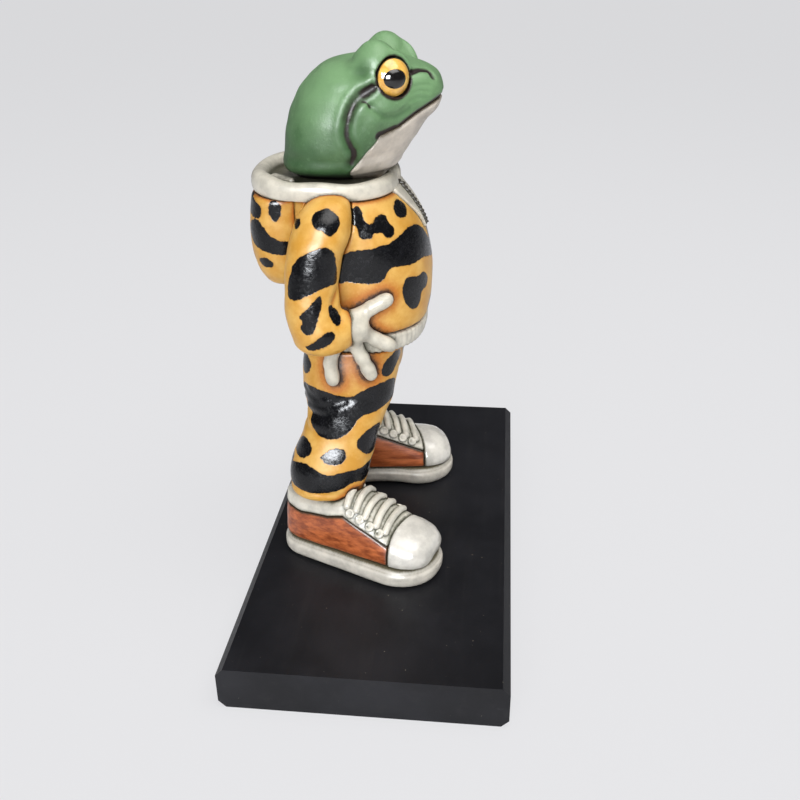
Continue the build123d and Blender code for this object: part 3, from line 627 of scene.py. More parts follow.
NOSTRIL_LINE_PIXELS = [(408, 74), (418, 70), (428, 70), (433, 76)]
SNOUT_WRINKLE_PIXELS = [
    [(413, 86), (420, 84), (430, 84)], [(412, 93), (420, 90), (429, 91)],
    [(410, 101), (417, 97), (426, 97)], [(388, 113), (398, 112), (408, 104)],
    [(372, 124), (378, 128), (381, 124)], [(362, 126), (368, 129), (374, 128)],
]
TEMPLE_HOLLOW = ((362, 72), 2.8, -0.55)
HEAD_BUMPS = [                 # pixel, width and height
    ((364, 109), 2.0, 0.75), ((374, 121), 2.4, 0.8), ((366, 137), 2.6, 0.8), ((388, 101), 3.2, 0.9),
    ((420, 78), 2.4, 0.4), TEMPLE_HOLLOW, ((368, 84), 1.6, 0.4), ((357, 82), 1.6, 0.35),
    ((356, 155), 1.8, 0.5),
]


def plain_head(points):
    body = smooth_min(head_body.distance(points), oval(points, SNOUT_PLACE, SNOUT_HALF), 2.0)
    return smooth_min(body, oval(points, BROW_PLACE, BROW_HALF), 3.0)


mouth_corner = cast(plain_head, MOUTH_CORNER_PIXELS)
ear_fold = cast_curve(plain_head, EAR_FOLD_PIXELS)
ear_inner = cast(plain_head, EAR_INNER_PIXELS)
cheek_crease = cast_curve(plain_head, CHEEK_CREASE_PIXELS)
nostril_line = cast(plain_head, NOSTRIL_LINE_PIXELS)
nostril = nostril_line[-1]
snout_wrinkles = [cast(plain_head, path) for path in SNOUT_WRINKLE_PIXELS]
bump_places = cast(plain_head, [pixel for pixel, _, _ in HEAD_BUMPS])
temple = bump_places[HEAD_BUMPS.index(TEMPLE_HOLLOW)]
head_creases = [               # path, depth and width
    (ear_fold, 1.3, 0.8), (ear_inner, 0.5, 0.7), (cheek_crease, 0.45, 0.9), (nostril_line, 0.75, 0.75),
] + [(path, 0.16, 0.5) for path in snout_wrinkles]


def gaze_frame(points):
    """How far along the right eye's gaze a point lies, and how far from its line."""
    run = points - EYE_PLACE
    along = run @ GAZE
    return along, np.linalg.norm(run - along[:, None] * GAZE, axis=1)


def throat_region(points):
    """Distance from the border of the white throat, negative inside it."""
    return outline_gap(points[:, 1:], THROAT_OUTLINE)


def mouth_line(points):
    """How much a point lies in the crease between the lips, which widens to its corner."""
    crease = bell(throat_region(points), 0.6) * rise(-points[:, 1], -1.2, 0.4)
    return most(crease, 1.2 * bell(path_gap(points, mouth_corner), 1.05))


def skull(points):
    """Head and throat in one, with both eye openings."""
    q = right_side(points)
    along, across = gaze_frame(q)
    ball = place_gap(q, EYE_PLACE) - EYE_RADIUS
    lid = np.hypot(across - LID_RADIUS, along - LID_AHEAD) - LID_TUBE
    body = smooth_min(plain_head(q), smooth_max(ball - 0.45, along - LID_AHEAD, 0.5), 0.8)
    body = smooth_max(body, -most(across - EYE_OPENING, LID_AHEAD - 0.2 - along), 0.4)
    body = smooth_min(body, lid, 1.1)
    for place, (_, width, height) in zip(bump_places, HEAD_BUMPS):
        body = body - height * bell(place_gap(q, place), width)
    body = body + sum(lines(q, head_creases)) - 0.35 * bell(path_gap(q, ear_fold) - 2.3, 1.0)
    body = body + 0.7 * bell(place_gap(q, nostril), 0.8) + 0.75 * mouth_line(q) + wavy(points, 0.12, 11, 0.9)
    opening = np.minimum.reduce([0.02 - ball, along - 0.9, EYE_OPENING + 0.3 - across])
    return smooth_max(body, opening, 0.3)


def head(points):
    return smooth_max(skull(points), -throat_region(points), 0.5)


def throat(points):
    folds = 0.12 * np.sin(points[:, 2] * 1.7 + np.abs(points[:, 0]) * 0.25) * rise(-points[:, 2], -134, -126)
    return smooth_max(skull(points) + 0.12 + folds, throat_region(points), 0.5)


def eye(points):
    return oval(points, EYE_PLACE, np.full(3, EYE_RADIUS))


def pupil(points):
    across = np.cross(PUPIL_GAZE, [0, 0, 1])
    across /= np.linalg.norm(across)
    axes = np.stack([across, np.cross(across, PUPIL_GAZE), PUPIL_GAZE], axis=1)
    body = oval((points - PUPIL_PLACE) @ axes, 0, PUPIL_HALF)
    return smooth_max(body, EYE_RADIUS - 1.3 - place_gap(points, EYE_PLACE), 0.1)


# Shoes, in the shoe's own frame: heel centre at the origin, toe towards -Y, top of the sole at zero
HEEL_RADIUS = 8.5
TOE_RADIUS = 12.0
WAIST_RADIUS = 30.0
SOLE_THICKNESS = SOLE_TOP - BOARD_TOP
SOLE_ROUNDING = 2.5
HEEL_PLACE = np.array([-STANCE_WIDTH / 2, MIDDLE_Y + HEEL_SET_BACK, SOLE_TOP])
STAY_STATIONS = [-8.5, 0, 9.0, 13.8, SHOE_SPAN]                # the lace stay's lower edge
STAY_HEIGHTS = [10.6, 9.7, 10.7, 11.9, 5.8]
LACE_COUNT = 5
LACE_RADIUS = 1.0
LACE_SINK = 0.62
LACE_STATIONS = (26.7, 14.6)
LACE_PITCH = (LACE_STATIONS[1] - LACE_STATIONS[0]) / (LACE_COUNT - 1)
LACE_END = 54.0
EYELET_ANGLE = 47.0
EYELET_RADIUS = 0.95
EYELET_TUBE = 0.42

cosine, sine = math.cos(TOE_OUT), math.sin(TOE_OUT)
FOOT_AXES = np.array([[cosine, sine, 0], [-sine, cosine, 0], [0, 0, 1]])


def foot_frame(points):
    return (points - HEEL_PLACE) @ FOOT_AXES


def from_foot(place):
    return HEEL_PLACE + FOOT_AXES @ place


def arc(middle, start, end, radius, count):
    angles = np.linspace(start, end, count)
    return [(middle[0] + radius * math.cos(a), middle[1] + radius * math.sin(a)) for a in angles]


def sole_outline():
    """Heel and toe arcs, straight outside, drawn in at the waist inside."""
    to_heel, to_toe = HEEL_RADIUS + WAIST_RADIUS, TOE_RADIUS + WAIST_RADIUS
    waist_y = -(to_heel**2 - to_toe**2 + SHOE_SPAN**2) / (2 * SHOE_SPAN)
    waist_x = math.sqrt(to_heel**2 - waist_y**2)
    heel_in = math.atan2(waist_y, waist_x)
    toe_in = math.atan2(waist_y + SHOE_SPAN, waist_x)
    out = math.pi / 2 + math.acos((TOE_RADIUS - HEEL_RADIUS) / SHOE_SPAN)
    heel = arc((0, 0), heel_in, out, HEEL_RADIUS, 22)
    toe = arc((0, -SHOE_SPAN), out, 2 * math.pi + toe_in, TOE_RADIUS, 26)
    waist = arc((waist_x, waist_y), math.pi + toe_in, math.pi + heel_in, WAIST_RADIUS, 10)
    return np.array(heel + toe + waist[1:-1])


SOLE_OUTLINE = sole_outline()


def sole(points):
    q = foot_frame(points)
    side = outline_gap(q[:, :2], SOLE_OUTLINE) + SOLE_ROUNDING + wavy(points, 0.12, 16, 0.5)
    level = np.abs(q[:, 2] + SOLE_THICKNESS / 2) - SOLE_THICKNESS / 2 + SOLE_ROUNDING
    body = np.hypot(np.maximum(side, 0), np.maximum(level, 0)) + np.minimum(most(side, level), 0)
    welt = bell(q[:, 2] + 1.0, 0.45) * rise(side, -1.0, 0.5)
    return body - SOLE_ROUNDING + 0.14 * welt


def upper(q):
    body = upper_body.distance(np.stack([q[:, 0], q[:, 2], -q[:, 1]], axis=1))
    return smooth_max(body + wavy(q, 0.12, 13, 0.8), -q[:, 2], 0.3)


def stay_gap(q):
    """Distance above the lower edge of the white collar and lace stay."""
    edge = np.interp(-q[:, 1], STAY_STATIONS, STAY_HEIGHTS)
    return (q[:, 2] - edge) * np.where(-q[:, 1] > 13.5, 0.92, 1.0)


def cap_gap(q):
    """Distance in front of the toe cap's back edge."""
    return -q[:, 1] - SHOE_SPAN - 0.4 * np.sin(q[:, 0] * 0.25)


def toe_cap(points):
    q = foot_frame(points)
    return smooth_max(upper(q) - 0.25 + 0.45 * bell(q[:, 2] - 0.3, 0.9), -cap_gap(q), 0.9)


def quarter(points):
    q = foot_frame(points)
    body = smooth_max(upper(q) + 0.15 + 0.3 * bell(q[:, 2] - 0.2, 0.7), stay_gap(q) + 0.1, 0.6)
    return smooth_max(body, cap_gap(q) + 0.15, 0.6)


def lace_stay(points):
    q = foot_frame(points)
    front = rise(-q[:, 1], 12, 14.5)
    tongue = bell(np.abs(q[:, 0] + 0.4) - 4.3, 0.55) * front * rise(q[:, 2], 4, 7)
    collar = bell(stay_gap(q) - 2.6, 1.0) * (1 - front)
    body = smooth_max(upper(q) - 0.2 + 0.35 * tongue - 0.35 * collar, 0.1 - stay_gap(q), 0.6)
    return smooth_max(smooth_max(body, cap_gap(q) + 0.15, 0.6), 0.2 - leg_body.distance(points), 0.5)


def upper_place(station, around):
    """A place on the shoe's upper, and the way its surface faces there."""
    shift, _, half_width, height = upper_body.section(np.array([station]))[0][0]
    across, above = math.cos(math.radians(around)), math.sin(math.radians(around))
    power = upper_body.squareness
    reach = (abs(across) ** power + above**power) ** (-1 / power)
    place = np.array([shift + half_width * reach * across, -station, height * reach * above])
    slope = math.copysign(abs(across) ** (power - 1), across) / half_width
    facing = np.array([slope, 0, above ** (power - 1) / height])
    return place, facing / np.linalg.norm(facing)


def lace_path(index):
    path = []
    for part in np.linspace(0, 1, 7):
        station = LACE_STATIONS[0] + LACE_PITCH * index + 0.5 * math.sin(index * 2.1) * (part - 0.5)
        place, facing = upper_place(station, LACE_END + (180 - 2 * LACE_END) * part)
        lift = LACE_RADIUS - LACE_SINK + 0.3 * math.sin(part * math.pi)
        path.append(from_foot(place + facing * lift))
    return np.array(path)


lace_lines = [lace_path(index) for index in range(LACE_COUNT)]


def laces(points):
    radii = [LACE_RADIUS * (1 + 0.06 * math.sin(index * 1.9)) for index in range(LACE_COUNT)]
    body = np.minimum.reduce([path_gap(points, path) - radius for path, radius in zip(lace_lines, radii)])
    return smooth_max(body, 0.15 - leg_body.distance(points), 0.3)


def eyelet_places():
    """Place and facing of the eyelets, a pair between each two lace bars."""
    places = []
    for index in range(LACE_COUNT - 1):
        for around in (EYELET_ANGLE, 180 - EYELET_ANGLE):
            place, facing = upper_place(LACE_STATIONS[0] + LACE_PITCH * (index + 0.5), around)
            places.append((from_foot(place + facing * 0.35), FOOT_AXES @ facing))
    return places


eyelet_list = eyelet_places()


def eyelets(points):
    body = np.full(len(points), FAR)
    for place, facing in eyelet_list:
        run = points - place
        along = run @ facing
        across = np.linalg.norm(run - along[:, None] * facing, axis=1)
        ring = np.hypot(across - EYELET_RADIUS, along) - EYELET_TUBE
        disc = most(across - EYELET_RADIUS + 0.05, np.abs(along) - 0.22)
        body = np.minimum.reduce([body, ring, disc])
    return body


# The printed cloth. Black shapes are closed outlines on the picture, laid on the body that carries
# them and opened out flat, or on the sides that the picture does not show, on the flat cloth itself.
JACKET_BLACK_PIXELS = [
    [(350, 207), (356, 205), (362, 210), (363, 221), (370, 226), (374, 219), (379, 214), (386, 215),
     (388, 222), (394, 227), (394, 236), (387, 239), (382, 233), (374, 233), (371, 239), (362, 240),
     (358, 235), (357, 226), (348, 219)],
    [(394, 200), (399, 199), (406, 205), (407, 214), (403, 219), (396, 216), (393, 208)],
    [(338, 256), (350, 251), (368, 250), (380, 246), (391, 243), (400, 235), (408, 226), (418, 223),
     (428, 236), (433, 249), (433, 254), (424, 256), (416, 262), (409, 266), (396, 266), (388, 270),
     (385, 279), (378, 284), (358, 284), (346, 281), (337, 285)],
    [(402, 286), (407, 276), (413, 277), (419, 276), (423, 270), (428, 276), (427, 285), (421, 291),
     (420, 303), (415, 310), (408, 307), (403, 298)],
    [(430, 296), (433, 290), (436, 300), (432, 316), (427, 308)],
]
SLEEVE_BLACK_PIXELS = [
    [(311, 222), (314, 213), (324, 208), (334, 211), (341, 220), (338, 230), (330, 239), (324, 232),
     (316, 230)],
    [(295, 219), (300, 218), (301, 224), (297, 230), (294, 226)],
    [(289, 279), (294, 262), (308, 252), (326, 246), (335, 252), (337, 270), (337, 284), (326, 286),
     (308, 296), (291, 302), (287, 292)],
    [(298, 317), (306, 311), (314, 301), (321, 294), (322, 306), (318, 322), (313, 336), (303, 334),
     (300, 327), (303, 322)],
    [(329, 304), (334, 307), (340, 314), (341, 324), (337, 327), (331, 320), (328, 312)],
    [(304, 347), (314, 343), (322, 335), (330, 331), (336, 334), (333, 342), (322, 349), (310, 351)],
]
POUCH_BLACK_PIXELS = [
    [(268, 205), (274, 199), (281, 204), (282, 214), (276, 224), (269, 217)],
    [(250, 190), (256, 193), (261, 205), (262, 217), (255, 219), (250, 206)],
    [(250, 224), (256, 217), (262, 224), (268, 235), (280, 242), (292, 240), (292, 254), (276, 255),
     (262, 250), (254, 243)],
    [(258, 258), (266, 257), (275, 263), (273, 268), (263, 266)],
]
LEG_BLACK_PIXELS = [
    [(381, 372), (384, 362), (391, 355), (397, 349), (401, 350), (396, 364), (391, 375), (384, 377)],
    [(302, 350), (307, 354), (312, 362), (310, 372), (305, 374), (300, 362)],
    [(297, 380), (309, 384), (320, 390), (336, 395), (350, 398), (361, 392), (374, 385), (396, 374),
     (400, 392), (390, 400), (376, 411), (360, 416), (353, 428), (344, 437), (331, 440), (318, 436),
     (312, 426), (312, 416), (300, 404)],
    [(297, 440), (304, 434), (310, 441), (313, 452), (306, 458), (299, 457), (296, 449)],
    [(319, 458), (329, 450), (341, 448), (347, 452), (345, 462), (335, 466), (325, 464), (322, 460)],
    [(357, 440), (366, 431), (380, 420), (384, 428), (378, 446), (368, 455), (360, 451), (356, 446)],
    [(290, 459), (302, 461), (314, 468), (326, 477), (344, 472), (358, 469), (372, 456), (374, 470),
     (364, 480), (352, 482), (344, 489), (318, 494), (304, 491), (290, 478)],
]


# The same on the sides that the picture does not show: millimetres round the body and of height
def blot(across, up, wide, tall, lobes=3, tilt=0.0, turn=0.0):
    """An uneven spot on the flat cloth: a lobed ring of points round a middle."""
    points = []
    for angle in np.arange(14) * (2 * math.pi / 14):
        size = 1 + 0.18 * math.sin(lobes * angle + turn) + 0.08 * math.sin(5 * angle + 2 * turn)
        x, y = wide / 2 * size * math.cos(angle), tall / 2 * size * math.sin(angle)
        points.append((across + x * math.cos(tilt) - y * math.sin(tilt),
                       up + x * math.sin(tilt) + y * math.cos(tilt)))
    return points


def ribbon(path, width):
    """An uneven band on the flat cloth along a path."""
    halves = [width / 2 * (1 + 0.25 * math.sin(index * 2.4)) for index in range(len(path))]
    above = [(across, up + half) for (across, up), half in zip(path, halves)]
    below = [(across, up - half) for (across, up), half in zip(path, halves)]
    return above + below[::-1]


JACKET_BLACK_FLAT = [
    ribbon([(33, 102), (38, 106), (45, 106), (52, 101), (59, 99)], 8.5),
    blot(41, 115.5, 4.5, 4), blot(48, 113.5, 6, 5, 2, 0.3), blot(57, 110, 7, 6, 3, 0, 2),
    blot(37, 92, 5, 7, 3, 0.3), blot(45, 91, 8, 7, 3, 0.5, 1), blot(54, 90, 7, 8, 2, 0.2),
    blot(34, 84.5, 6, 3.5, 2), blot(61, 86, 5, 5), blot(-58, 97, 8, 9, 3, 0.4), blot(-49, 106, 7, 7),
    ribbon([(-60, 87), (-52, 85), (-44, 88), (-36, 85.5), (-28, 88), (-20, 86)], 5),
    blot(-48, 95, 7, 6, 2), blot(-14, 92, 6, 5),
]
SLEEVE_BLACK_FLAT = [
    blot(14, 109, 4, 6), blot(14.5, 93, 4.5, 6, 2), blot(-15, 107, 5.5, 8),
    ribbon([(-11, 97), (-15, 95), (-20, 96.5)], 5), blot(-14, 86, 6, 5, 2),
]
LEFT_SLEEVE_BLACK_FLAT = [
    ribbon([(-9, 101), (-3, 104), (4, 102), (10, 98)], 8),
    blot(1, 114, 7, 6, 3, 0.2), blot(-8, 112, 4, 5, 2), blot(-5, 92, 6, 7, 3, 0.4),
    blot(4, 91, 4.5, 7, 2, -0.3), blot(0, 84.5, 8, 4, 2, 0.2), blot(14, 109, 5, 6),
    blot(-15, 88, 6, 6), blot(-16, 107, 5, 7), blot(12, 88, 4, 5, 2),
]
POUCH_BLACK_FLAT = [
    ribbon([(-17, 102), (-23, 105), (-29, 102), (-35, 105), (-41, 103)], 6),
    blot(-20, 112.5, 8, 5, 3, 0.2), blot(-24, 95.8, 8, 4.5, 2), blot(-33, 113, 7, 5, 3, 0.3),
    blot(-35, 96.5, 6, 5), blot(-42, 112, 5, 7, 2), blot(-15, 96.5, 5, 4),
]
LEG_BLACK_FLAT = [
    ribbon([(17, 42), (24, 40.5), (31, 42), (38, 40.5)], 6.5),
    ribbon([(-38, 40.5), (-31, 42), (-24, 40.5), (-15, 41.5)], 6.5),
    ribbon([(21, 63), (28, 60), (35, 62)], 7), blot(25, 51.5, 6, 6), blot(34, 51, 6, 5, 2),
    ribbon([(-16, 63), (-22, 65), (-29, 61), (-36, 63)], 8), blot(-23, 52, 7, 6),
    blot(-33, 51, 6, 6, 2), blot(22, 72, 5, 4), blot(-25, 72.5, 6, 4.5),
]
LEFT_LEG_BLACK_FLAT = LEG_BLACK_FLAT + [
    ribbon([(-15, 64), (-8, 60), (0, 58), (8, 61), (16, 65)], 9),
    blot(-8, 50.5, 6, 7), blot(2, 49.5, 7, 5, 2), blot(12, 52, 6, 7, 3, 0.3),
    ribbon([(-15, 41.5), (-8, 40), (0, 39.5), (8, 40.5), (17, 42)], 6.5),
    blot(-10, 72, 5, 6), blot(3, 71, 7, 5, 2), blot(13, 73, 4, 4),
]
SEAT_BLACK_FLAT = [blot(-22, 70, 8, 6), blot(23, 70.5, 6, 6, 2), blot(-31, 66, 5, 5)]
PRINT_REACH = 3.0              # the print is followed this far outside its outlines, in millimetres
NO_PRINT = 9.0


def print_gap(points, body, distance, pixel_outlines, flat_outlines):
    """Distance from the black shapes on a body, opened out flat, and negative inside them."""
    turn = 2 * math.pi * body.round_radius
    outlines = list(flat_outlines)
    for outline in pixel_outlines:
        flat = body.unwrap(cast(distance, outline))
        flat[:, 0] = flat[0, 0] + (flat[:, 0] - flat[0, 0] + turn / 2) % turn - turn / 2
        outlines.append(flat)
    flat = body.unwrap(points)
    best = np.full(len(points), NO_PRINT)
    for outline in map(rounded, outlines):
        low, high = outline.min(0) - PRINT_REACH, outline.max(0) + PRINT_REACH
        for shift in (-turn, 0, turn):
            here = flat + [shift, 0]
            close = np.all((here > low) & (here < high), axis=1)
            if close.any():
                best[close] = np.minimum(best[close], outline_gap(here[close], outline))
    return best


# Materials
def tone(red, green, blue):
    """A colour given as it looks on screen, from 0 to 255."""
    parts = [value / 255 for value in (red, green, blue)]
    return tuple(p / 12.92 if p <= 0.04045 else ((p + 0.055) / 1.055) ** 2.4 for p in parts) + (1.0,)


def add_node(tree, kind, inputs, output=0, **settings):
    """A node of a material or world: each input gets a value, or another node's output."""
    node = tree.nodes.new("ShaderNode" + kind)
    for name, value in settings.items():
        setattr(node, name, value)
    for name, value in inputs.items():
        join(tree, node.inputs[name], value)
    return node.outputs[output]


def join(tree, socket, value):
    if hasattr(value, "is_output"):
        tree.links.new(value, socket)
    else:
        socket.default_value = value


class Finish:
    """A material made of nodes."""

    def __init__(self, name, coat=0.0, coat_roughness=0.15, metallic=0.0, shine=0.35):
        self.material = bpy.data.materials.new(name)
        self.material.use_nodes = True
        self.tree = self.material.node_tree
        self.surface = self.tree.nodes["Principled BSDF"].inputs
        self.surface["Coat Weight"].default_value = coat
        self.surface["Coat Roughness"].default_value = coat_roughness
        self.surface["Metallic"].default_value = metallic
        self.surface["Specular IOR Level"].default_value = shine
        self.place = self.add("TexCoord", {}, "Object")

    def add(self, kind, inputs, output=0, **settings):
        return add_node(self.tree, kind, inputs, output, **settings)

    def attribute(self, name):
        return self.add("Attribute", {}, "Fac", attribute_name=name)

    def noise(self, size_mm, detail=3.0, roughness=0.55, stretch=(1, 1, 1), turn=0.0):
        place = self.add("Mapping", {"Vector": self.place, "Scale": stretch, "Rotation": (0, 0, turn)})
        scale = 1 / (size_mm * MM)
        inputs = {"Vector": place, "Scale": scale, "Detail": detail, "Roughness": roughness}
        return self.add("TexNoise", inputs, "Fac")

    def cloud_and_grain(self, cloud_mm, grain_mm):
        """A slow and a fine noise."""
        return self.noise(cloud_mm, 4, 0.6), self.noise(grain_mm, 3, 0.6)

    def sum(self, first, second, operation="ADD"):
        return self.add("Math", {0: first, 1: second}, operation=operation)

    def times(self, first, second):
        return self.sum(first, second, "MULTIPLY")

    def spread(self, value, low, high, to_low=0.0, to_high=1.0):
        """Smoothly from to_low to to_high, as a value goes from low to high."""
        inputs = {"Value": value, "From Min": low, "From Max": high, "To Min": to_low, "To Max": to_high}
        return self.add("MapRange", inputs, "Result", interpolation_type="SMOOTHSTEP")

    def mix(self, part, first, second):
        """From one colour to another. A colour is a node's output, or red, green and blue."""
        ends = [tone(*end) if isinstance(end, tuple) else end for end in (first, second)]
        return self.add("Mix", {0: part, 6: ends[0], 7: ends[1]}, 2, data_type="RGBA")

    def over(self, under, colour, value, low, high, to_low=0.0, to_high=1.0):
        """Lay a colour over what is under it, where a value is high."""
        return self.mix(self.spread(value, low, high, to_low, to_high), under, colour)

    def wash(self, grain, *limits):
        """The piece's own wash and painted shade, broken up by a fine noise."""
        return self.times(self.attribute("wash"), self.spread(grain, *limits))

    def finish(self, colour, roughness, bump=None, depth_mm=0.05):
        join(self.tree, self.surface["Base Color"], colour)
        join(self.tree, self.surface["Roughness"], roughness)
        if bump is not None:
            normal = self.add("Bump", {"Height": bump, "Distance": depth_mm * MM})
            join(self.tree, self.surface["Normal"], normal)
        return self.material


def green_paint():
    make = Finish("green_paint")
    cloud, grain = make.cloud_and_grain(9, 1.1)
    height = make.add("SeparateXYZ", {0: make.place}, "Z")
    # Painted light: the top of the head is lighter, as if lit from above, mixed with a slow random mottle.
    high = make.spread(height, 0.122, 0.150)
    top_light_and_mottle = make.sum(make.times(high, 0.6), make.times(cloud, 0.55))
    colour = make.over((54, 86, 50), (110, 146, 102), top_light_and_mottle, 0.2, 0.95)
    colour = make.over(colour, (138, 172, 130), grain, 0.55, 0.8, 0, 0.25)
    colour = make.over(colour, (48, 84, 44), make.attribute("shade"), 0, 1, 0, 0.75)
    # Dark brown where the wash is high: painted lines and brown wash, with painted shade in the creases,
    # round the eyes and against the hood.
    colour = make.over(colour, (28, 15, 11), make.wash(grain, 0.1, 0.7, 1.15, 0.85), 0.12, 0.75)
    rough = make.spread(cloud, 0.3, 0.7, 0.36, 0.5)
    return make.finish(colour, rough, make.sum(grain, make.noise(0.35, 2)), 0.06)


def printed(name):
    """Glazed cloth: ochre with black spots, and brown wash and painted shade in its recesses."""
    make = Finish(name, shine=0.3)
    cloud, grain = make.cloud_and_grain(6, 0.8)
    ochre = make.over((196, 141, 52), (216, 171, 90), cloud, 0.3, 0.72)
    ochre = make.over(ochre, (230, 198, 134), grain, 0.55, 0.85, 0, 0.2)
    # Brown wash with painted shade in folds and recesses and beside other parts.
    wash = make.wash(grain, 0.1, 0.8, 1.2, 0.8)
    ochre = make.over(ochre, (176, 98, 30), wash, 0.05, 0.5, 0, 0.8)
    ochre = make.over(ochre, (58, 34, 18), wash, 0.45, 0.95)
    edge = make.sum(make.attribute("print"), make.sum(make.noise(1.3, 3, 0.6), -0.5))
    ink = make.spread(edge, -0.09, 0.09, 1, 0)
    ochre = make.over(ochre, (160, 100, 40), edge, 0.0, 0.5, 0.3, 0)
    black = make.over((9, 9, 11), (21, 21, 24), make.noise(3.5, 4, 0.65), 0.35, 0.75)
    rough = make.spread(cloud, 0.3, 0.7, 0.34, 0.46)
    rough = make.mix(ink, rough, make.spread(grain, 0.35, 0.65, 0.12, 0.3))
    flecks = make.times(make.noise(0.9, 3, 0.65), make.times(ink, 1.1))
    return make.finish(make.mix(ink, ochre, black), rough, make.sum(make.noise(1.6, 3), flecks), 0.06)


def off_white(name, colour, dark, rough=0.4, coat=0.2):
    make = Finish(name, coat, 0.2)
    cloud, grain = make.cloud_and_grain(5, 0.7)
    body = make.over(colour, tuple(channel * 0.86 for channel in colour), cloud, 0.35, 0.7)
    # Darker where the wash is high: brown wash with painted shade in grooves and beside other parts.
    body = make.over(body, dark, make.wash(grain, 0.15, 0.75, 1.2, 0.75), 0.02, 0.9)
    return make.finish(body, make.spread(cloud, 0.3, 0.7, rough - 0.06, rough + 0.08), grain, 0.05)


def shoe_paint():
    make = Finish("shoe_paint", 0.25, 0.2)
    streak = make.noise(2.4, 4, 0.6, (1.4, 0.22, 1.6), TOE_OUT)
    grain = make.noise(0.8, 3, 0.6)
    colour = make.over((122, 56, 26), (192, 104, 54), streak, 0.3, 0.7)
    colour = make.over(colour, (206, 132, 84), grain, 0.6, 0.85, 0, 0.35)
    # Darker where the wash is high: brown wash with painted shade along the seams and at the sole.
    colour = make.over(colour, (56, 42, 26), make.wash(grain, 0.15, 0.75, 1.2, 0.8), 0.1, 0.8)
    return make.finish(colour, make.spread(streak, 0.3, 0.7, 0.3, 0.42), streak, 0.08)


def eye_paint():
    """Yellow, with a dark ring round it under the lid."""
    make = Finish("eye_paint", 0.8, 0.05)
    cloud = make.noise(1.6, 3, 0.6)
    colour = make.over((238, 190, 92), (216, 158, 70), cloud, 0.3, 0.7)
    colour = make.over(colour, (18, 14, 12), make.attribute("ring"), 4.25, 4.5)
    return make.finish(colour, make.spread(cloud, 0.2, 0.8, 0.12, 0.2))


def pupil_gloss():
    make = Finish("pupil_gloss", 0.6, 0.06)
    grain = make.noise(0.9, 3, 0.6)
    colour = make.over((14, 12, 12), (22, 20, 20), grain, 0.3, 0.7)
    return make.finish(colour, make.spread(grain, 0.3, 0.7, 0.06, 0.16))


def board_paint():
    """Satin black paint on wood, with dust specks and faint rubs."""
    make = Finish("board_paint", shine=0.2)
    cloud = make.noise(26, 5, 0.6)
    grain = make.noise(3, 4, 0.6, (0.06, 1, 1))
    speck = make.noise(0.75, 2, 0.5)
    scuff = make.noise(5.5, 6, 0.75, (1, 0.35, 1))
    colour = make.over((20, 20, 23), (29, 29, 33), cloud, 0.3, 0.75)
    colour = make.over(colour, (46, 45, 45), grain, 0.5, 0.8, 0, 0.18)
    colour = make.over(colour, (84, 84, 86), scuff, 0.68, 0.8, 0, 0.22)
    colour = make.over(colour, (150, 140, 124), speck, 0.76, 0.80, 0, 0.6)
    rough = make.sum(make.spread(cloud, 0.3, 0.7, 0.34, 0.44), make.spread(scuff, 0.6, 0.8, 0, 0.12))
    return make.finish(colour, rough, make.sum(grain, make.times(speck, 0.3)), 0.04)


def screw_steel():
    make = Finish("screw_steel", metallic=1.0, shine=0.5)
    brushed = make.noise(0.5, 3, 0.6, (1, 1, 0.1))
    colour = make.over((150, 148, 145), (186, 184, 180), brushed, 0.3, 0.7)
    return make.finish(colour, make.spread(brushed, 0.3, 0.7, 0.28, 0.4))


jacket_cloth = printed("jacket_cloth")
trim = off_white("trim_glaze", (209, 203, 188), (84, 82, 66), 0.36)
lace_glaze = off_white("lace_glaze", (212, 207, 194), (82, 82, 64), 0.42)


# Pieces
BOX_MARGIN = 2.6


def mesh_node(shape, node, step, margin=BOX_MARGIN):
    """Mesh a shape in the box of its solid, widened a little."""
    low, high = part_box(node)
    return mesh_of(shape, np.array(low) / MM - margin, np.array(high) / MM + margin, step)


def add_object(name, data):
    thing = bpy.data.objects.new(name, data)
    bpy.context.scene.collection.objects.link(thing)
    return thing


def add_piece(node, slot, material, mesh, **values):
    """A visible piece that stands for a solid, with numbers at its points for its paint."""
    verts, faces = mesh
    data = bpy.data.meshes.new(node + "_skin")
    data.from_pydata((verts * MM).tolist(), [], faces.tolist())
    for key, numbers in values.items():
        data.attributes.new(key, "FLOAT", "POINT").data.foreach_set("value", numbers.astype(np.float32))
    data.polygons.foreach_set("use_smooth", np.ones(len(faces), bool))
    data.materials.append(material)
    data.update()
    piece = add_object(node + "_skin", data)
    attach(piece, "root")
    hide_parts(node)


def add_pair(name, slot, material, mesh, left_values=None, **values):
    """The right-hand piece and its mirror image."""
    add_piece("right_" + name, slot, material, mesh, **values)
    add_piece("left_" + name, slot, material, mirrored(mesh), **{**values, **(left_values or {})})


def near(points, *shapes, reach):
    """Brown wash and painted shade in the corner beside other shapes: 1 where they touch, fading with
    distance.
    """
    gap = np.minimum.reduce([shape(points) for shape in shapes])
    return np.exp(-np.maximum(gap - 0.15, 0) / reach)


def below_shoulder(points):
    """The wash and painted shade beside the arm fade out towards the shoulder."""
    return 0.2 + 0.8 * rise(-points[:, 2], -114, -104)


